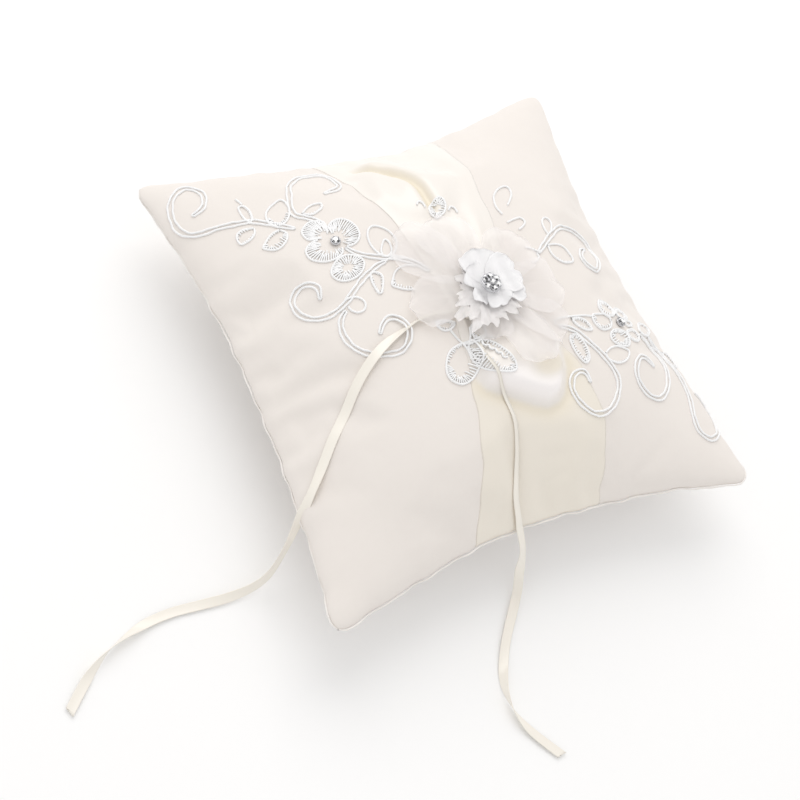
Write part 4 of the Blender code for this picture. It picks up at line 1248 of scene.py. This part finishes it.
def petalPoints(petal, kind):
    rows, columns = kind["rows"], kind["columns"]
    ox, oy = flowerSizes["middle"]
    tx, ty, width, rise, curl, seed = petal
    length = math.hypot(tx - ox, ty - oy)
    dx, dy = (tx - ox) / length, (ty - oy) / length
    peak = kind["swell"] / (kind["swell"] + kind["tipTaper"])
    root = flowerSizes["rootWidth"] / 2
    points, uvs, cut, before = [], [], 0.0, 0.06
    for i in range(rows + 1):
        t = 0.06 + 0.94 * math.sin(i / rows * math.pi / 2) ** 1.1
        body = (t / peak) ** kind["swell"] * (max(1 - t, 0.0) / (1 - peak)) ** kind["tipTaper"]
        half = max(width / 2 * body, root * (1 - t) ** 2)
        cut += 2 * half * length * (t - before) * mm * mm
        before = t
        for j in range(columns + 1):
            s = 2 * j / columns - 1
            edge = abs(s) ** 3 * smoothStep(0.25, 0.7, t) + smoothStep(0.82, 1.0, t)
            angle = math.atan2(s * half, length * (t - 0.45))
            tooth = 1 + kind["teeth"] * math.sin(kind["teethCount"] * angle + seed * 3) * min(edge, 1.0)
            tooth += 0.5 * kind["teeth"] * math.sin(2.3 * kind["teethCount"] * angle + seed) * min(edge, 1.0)
            along = length * t * (1 + (tooth - 1) * smoothStep(0.5, 1.0, t))
            across = s * half * tooth + 0.05 * length * math.sin(seed * 2 + t * 2.2) * t
            x, y = ox + dx * along - dy * across, oy + dy * along + dx * across
            frill = kind["frill"] * t ** 1.3 * (0.25 + 0.75 * min(edge, 1.0))
            frill *= math.sin(kind["waves"] * angle * 1.3 + seed * 5)
            frill += 0.35 * kind["frill"] * t * math.sin(9 * s + 4 * t + seed * 7)
            high = rise - 0.5 * (1 - t)
            if kind["look"] == "organza":
                high = flowerSizes["settle"] + (rise - flowerSizes["settle"]) * (1 - t) ** 0.9
                high += 1.2 * math.sin(math.pi * t)
            high += curl * t ** 3 + kind["cup"] * s * s * t + frill
            points.append(onTop(x, y, max(high, flowerSizes["lowest"]))[0])
            uvs.append((s * half / 12, t * length / 12))
    return points, uvs, cut


def makePetals(name, petals, kind, nodes, slot):
    made, cuts = [], []
    for index, petal in enumerate(petals):
        points, uvs, cut = petalPoints(petal, kind)
        cuts.append(cut)
        label = name + str(index + 1)
        mesh = smoothMesh(label, points, gridFaces(kind["rows"] + 1, kind["columns"] + 1))
        setUvs(mesh, "petalMap", uvs)
        obj = newObject(label, mesh, materials[kind["look"]])
        if kind["look"] == "petal":
            thickened(obj, flowerSizes["wall"], 0)
        made.append(obj)
    if len(nodes) < len(made):           # the rest are sewn to the last one
        first = made[:len(nodes) - 1]
        cuts = cuts[:len(first)] + [sum(cuts[len(first):])]
        made = first + [joinObjects(name + str(len(nodes)), made[len(first):])]
    for index, obj in enumerate(made):
        obj.data.shade_smooth()
        belongs(obj, slot, nodes[index])
    print(name, "has", len(petals), "petals")


makePetals("organzaPetal", organzaPetals, petalKinds["organza"],
           ["organza_petal_%d" % n for n in range(1, 8)], "organza")
makePetals("lowerBloom", lowerPetals, petalKinds["lower"], ["flower_lower_layer"], "petal_satin")
makePetals("upperBloom", upperPetals, petalKinds["upper"], ["flower_upper_layer"], "petal_satin")


def aroundAxis(place, normal, radius, height, count, start=0.0):
    # a ring of points round an axis, with its radius and height in millimetres
    turn = Vector((0, 0, 1)).rotation_difference(normal).to_matrix()
    angles = [start + math.tau * k / count for k in range(count)]
    return [place + turn @ (Vector((radius * math.cos(a), radius * math.sin(a), height)) * mm) for a in angles]


def turned(name, profile, steps, place, normal, look):
    # a profile of (radius, height) in millimetres turned round an axis
    points = [p for radius, height in profile for p in aroundAxis(place, normal, radius, height, steps)]
    faces = gridFaces(len(profile), steps, closed=True)
    faces += [tuple(reversed(range(steps))), tuple(range(len(points) - steps, len(points)))]
    return fixNormals(newObject(name, smoothMesh(name, points, faces), materials[look]))


# ---- crystals ----

stoneSizes = {
    "cluster": 1.22,             # radius
    "single": 1.7,
    "ring": 2.72,                # of the outer six
    "clusterLift": 9.6,
    "singleLift": 0.5,
    "claw": 0.26 * mm,
    "clawRoot": 1.12,            # shares of the stone's radius
    "clawTip": 0.74,
    "clusterCup": ((3.4, -0.5), (4.2, -0.2), (4.35, 0.3), (4.0, 0.75), (2.0, 0.85), (0.4, 0.95)),
    "singleCup": ((1.0, -0.4), (1.9, -0.3), (2.15, 0.2), (2.1, 0.62), (1.8, 0.7), (0.5, 0.3)),
    "leftPlace": (-43, 41.6),
    "rightPlace": (61.9, -24.6),
}


def makeGemTree():
    # a brilliant on each point; every facet gets its own painted reflection as a tone
    tree, names, given = startTree("brilliant", (("Seed", "Int"), ("Material", "Material")))
    # crown, pavilion and girdle as (wide at the top, wide at the bottom, height, foot)
    joined = addNode(tree, "GeometryNodeJoinGeometry")
    for top, bottom, depth, foot in ((0.56, 1.0, 0.38, 0.06), (0.12, 1.0, 0.7, -0.7), (1.0, 1.0, 0.06, 0.0)):
        cone = geo(tree, "MeshCone", {"Vertices": 8, "Radius Top": top, "Radius Bottom": bottom, "Depth": depth},
                   fill_type="NGON")
        cone = geo(tree, "Transform", {"Geometry": cone, "Translation": (0, 0, foot)})
        tree.links.new(cone, joined.inputs[0])
    up = vectorAt(tree, "up")
    index = geo(tree, "InputIndex")
    spin = addNode(tree, "ShaderNodeCombineXYZ", {"Z": mathNode(tree, "MULTIPLY", index, 1.37)}).outputs[0]
    turn = addNode(tree, "FunctionNodeEulerToRotation", {"Euler": spin}).outputs[0]
    turn = addNode(tree, "FunctionNodeAlignRotationToVector", {"Rotation": turn, "Vector": up}, axis="Z").outputs[0]
    placed = geo(tree, "InstanceOnPoints", {
        "Points": given["Geometry"], "Instance": joined.outputs[0], "Rotation": turn, "Scale": lengthOf(tree, up)})
    whole = geo(tree, "RealizeInstances", {"Geometry": placed})
    paintedGlint = addNode(tree, "FunctionNodeRandomValue", {"Seed": given["Seed"]}, data_type="FLOAT")
    paintedGlint = mathNode(tree, "MULTIPLY_ADD", paintedGlint.outputs[1], 7.0, -2.2)      # painted reflections: mostly light, with some nearly black
    paintedGlint = addNode(tree, "ShaderNodeClamp", {"Value": paintedGlint}).outputs[0]
    stored = geo(tree, "StoreNamedAttribute", {"Geometry": whole, "Name": "paintedFacetGlint", "Value": paintedGlint},
                     data_type="FLOAT", domain="FACE")
    flat = geo(tree, "SetShadeSmooth", {"Geometry": stored, "Shade Smooth": False})
    done = geo(tree, "SetMaterial", {"Geometry": flat, "Material": given["Material"]})
    addNode(tree, "NodeGroupOutput", {"Geometry": done})
    return tree, names


trees["gem"] = makeGemTree()


def gemsAt(name, gems, seed):
    # gems are (middle, normal, radius in metres)
    obj = pointsWith(name, [gem[0] for gem in gems], up=[up * radius for place, up, radius in gems])
    return runTree(obj, "gem", {"Seed": seed, "Material": materials["crystal"]})


def clawsRound(place, normal, radius, height, count, start=0.0):
    # prongs that bend in over a stone's edge
    roots = aroundAxis(place, normal, radius * stoneSizes["clawRoot"], height - 0.35, count, start)
    ends = aroundAxis(place, normal, radius * stoneSizes["clawTip"], height + 0.42, count, start)
    return [(root, end, (root - place).normalized()) for root, end in zip(roots, ends)]


def makeCluster():
    x, y = flowerSizes["middle"]
    place, normal = onTop(x - 0.6, y - 0.4, stoneSizes["clusterLift"])
    radius, ring = stoneSizes["cluster"], stoneSizes["ring"]
    spots = [place + normal * 1.75 * mm]
    spots += [p - normal * 0.05 * mm for p in aroundAxis(place, normal, ring, 1.35, 6, 0.4)]
    gems = gemsAt("clusterStones", [(p, normal, radius * mm) for p in spots], 5)
    cup = [turned("clusterBase", stoneSizes["clusterCup"], 36, place, normal, "metal")]
    rims = [(aroundAxis(p, normal, radius + 0.16, -0.12, 20), True) for p in spots]
    rims += [(aroundAxis(place, normal, 4.25, 0.3, 60), True)]
    cup.append(cordsAlong("clusterRims", rims, 0.17 * mm, step=0.3 * mm, depth=0.0, sides=7, look="metal"))
    claws = []
    for k, p in enumerate(spots):
        claws += clawsRound(p, normal, radius, 0.1, 4 if k else 6, 0.7 + k)
    cup.append(threadsAt("clusterClaws", claws, stoneSizes["claw"], 0.16 * mm, 6, "metal"))
    cup = joinObjects("clusterCup", cup)
    belongs(gems, "crystal", *["cluster_stone_%d" % n for n in range(1, 8)])
    belongs(cup, "silver_claw", "cluster_cup")


def makeSingle(side, seed):
    x, y = stoneSizes[side + "Place"]
    place, normal = onTop(x, y, stoneSizes["singleLift"])
    radius = stoneSizes["single"]
    middle = place + normal * 0.95 * mm
    gem = gemsAt(side + "Stone", [(middle, normal, radius * mm)], seed)
    cup = [turned(side + "Base", stoneSizes["singleCup"], 28, place, normal, "metal"),
           cordsAlong(side + "Rim", [(aroundAxis(middle, normal, radius + 0.2, -0.18, 28), True)], 0.24 * mm,
                      step=0.3 * mm, depth=0.0, sides=8, look="metal"),
           threadsAt(side + "Claws", clawsRound(middle, normal, radius, 0.1, 6, 0.5),
                     stoneSizes["claw"], 0.18 * mm, 6, "metal")]
    belongs(gem, "crystal", "stone_" + side)
    belongs(joinObjects(side + "StoneCup", cup), "silver_claw", "stone_cup_" + side)


makeCluster()
makeSingle("left", 3)
makeSingle("right", 11)
print("crystals set")


# ---- what holds the flower and the ribbons ----

backingSizes = {
    "profile": ((3.5, -0.3), (4.0, -0.1), (4.05, 0.15), (3.6, 0.35), (1.0, 0.42)),
    "lift": 2.2,
}
tackSizes = {"middle": (-7.5, -6), "half": (2.7, 2.1), "rise": 1.3, "wall": 0.35 * mm}


def makeBacking():
    x, y = flowerSizes["middle"]
    place, normal = onTop(x, y, backingSizes["lift"])
    backing = turned("flowerBacking", backingSizes["profile"], 32, place, normal, "felt")
    belongs(backing, "felt", "flower_backing")


def makeTack():
    # a folded scrap of ribbon over the two ribbons' ends
    points, uvs = [], []
    rows, columns = 16, 12
    for i in range(rows + 1):
        for j in range(columns + 1):
            a, b = 2 * i / rows - 1, 2 * j / columns - 1
            x = tackSizes["middle"][0] + tackSizes["half"][0] * a + 0.25 * b * b
            y = tackSizes["middle"][1] + tackSizes["half"][1] * b * (1 - 0.12 * a * a)
            lift = 0.9 + tackSizes["rise"] * (1 - abs(b) ** 2.4) + 0.16 * math.sin(7 * a) * (1 - b * b)
            points.append(onTop(x, y, lift)[0])
            uvs.append((b * 0.002, a * 0.0025))
    mesh = smoothMesh("ribbonTack", points, gridFaces(rows + 1, columns + 1))
    setUvs(mesh, "clothMap", uvs)
    tack = thickened(newObject("ribbonTack", mesh, materials["ribbonSatin"]), tackSizes["wall"], -1)
    belongs(fixNormals(tack), "ribbon_satin", "ribbon_tack")


makeBacking()
makeTack()
print("backing and tack made")


# ---- the stage ----

stageSizes = {"floor": 4.0, "keyPower": 8.5, "skyStrength": 0.84}


def addLight(name, place, aim, size, power, colour):
    data = bpy.data.lights.new(name, "AREA")
    data.shape = "DISK"
    data.size = size
    data.energy = power
    data.color = colour
    light = bpy.data.objects.new(name, data)
    light.location = place
    light.rotation_mode = "QUATERNION"
    light.rotation_quaternion = (Vector(aim) - Vector(place)).to_track_quat("-Z", "Y")
    bpy.context.scene.collection.objects.link(light)


def addStage():
    bm = bmesh.new()
    bmesh.ops.create_grid(bm, x_segments=1, y_segments=1, size=stageSizes["floor"] / 2)
    mesh = bpy.data.meshes.new("floor")
    bm.to_mesh(mesh)
    bm.free()
    material = newMaterial("floorPaint", (0.97, 0.97, 0.97), Roughness=0.9)[0]
    floor = newObject("floor", mesh, material)
    floor.location.z = -0.0005
    addLight("keyLight", (0.25, 0.95, 1.15), (0, 0, 0.03), 1.5, stageSizes["keyPower"], (1.0, 0.985, 0.97))
    world = bpy.data.worlds.new("studio")
    world.use_nodes = True
    background = world.node_tree.nodes["Background"]
    background.inputs["Color"].default_value = (1.0, 0.995, 0.99, 1)
    background.inputs["Strength"].default_value = stageSizes["skyStrength"]
    bpy.context.scene.world = world
    bpy.context.scene.view_settings.view_transform = "Standard"


addStage()
print("stage set")
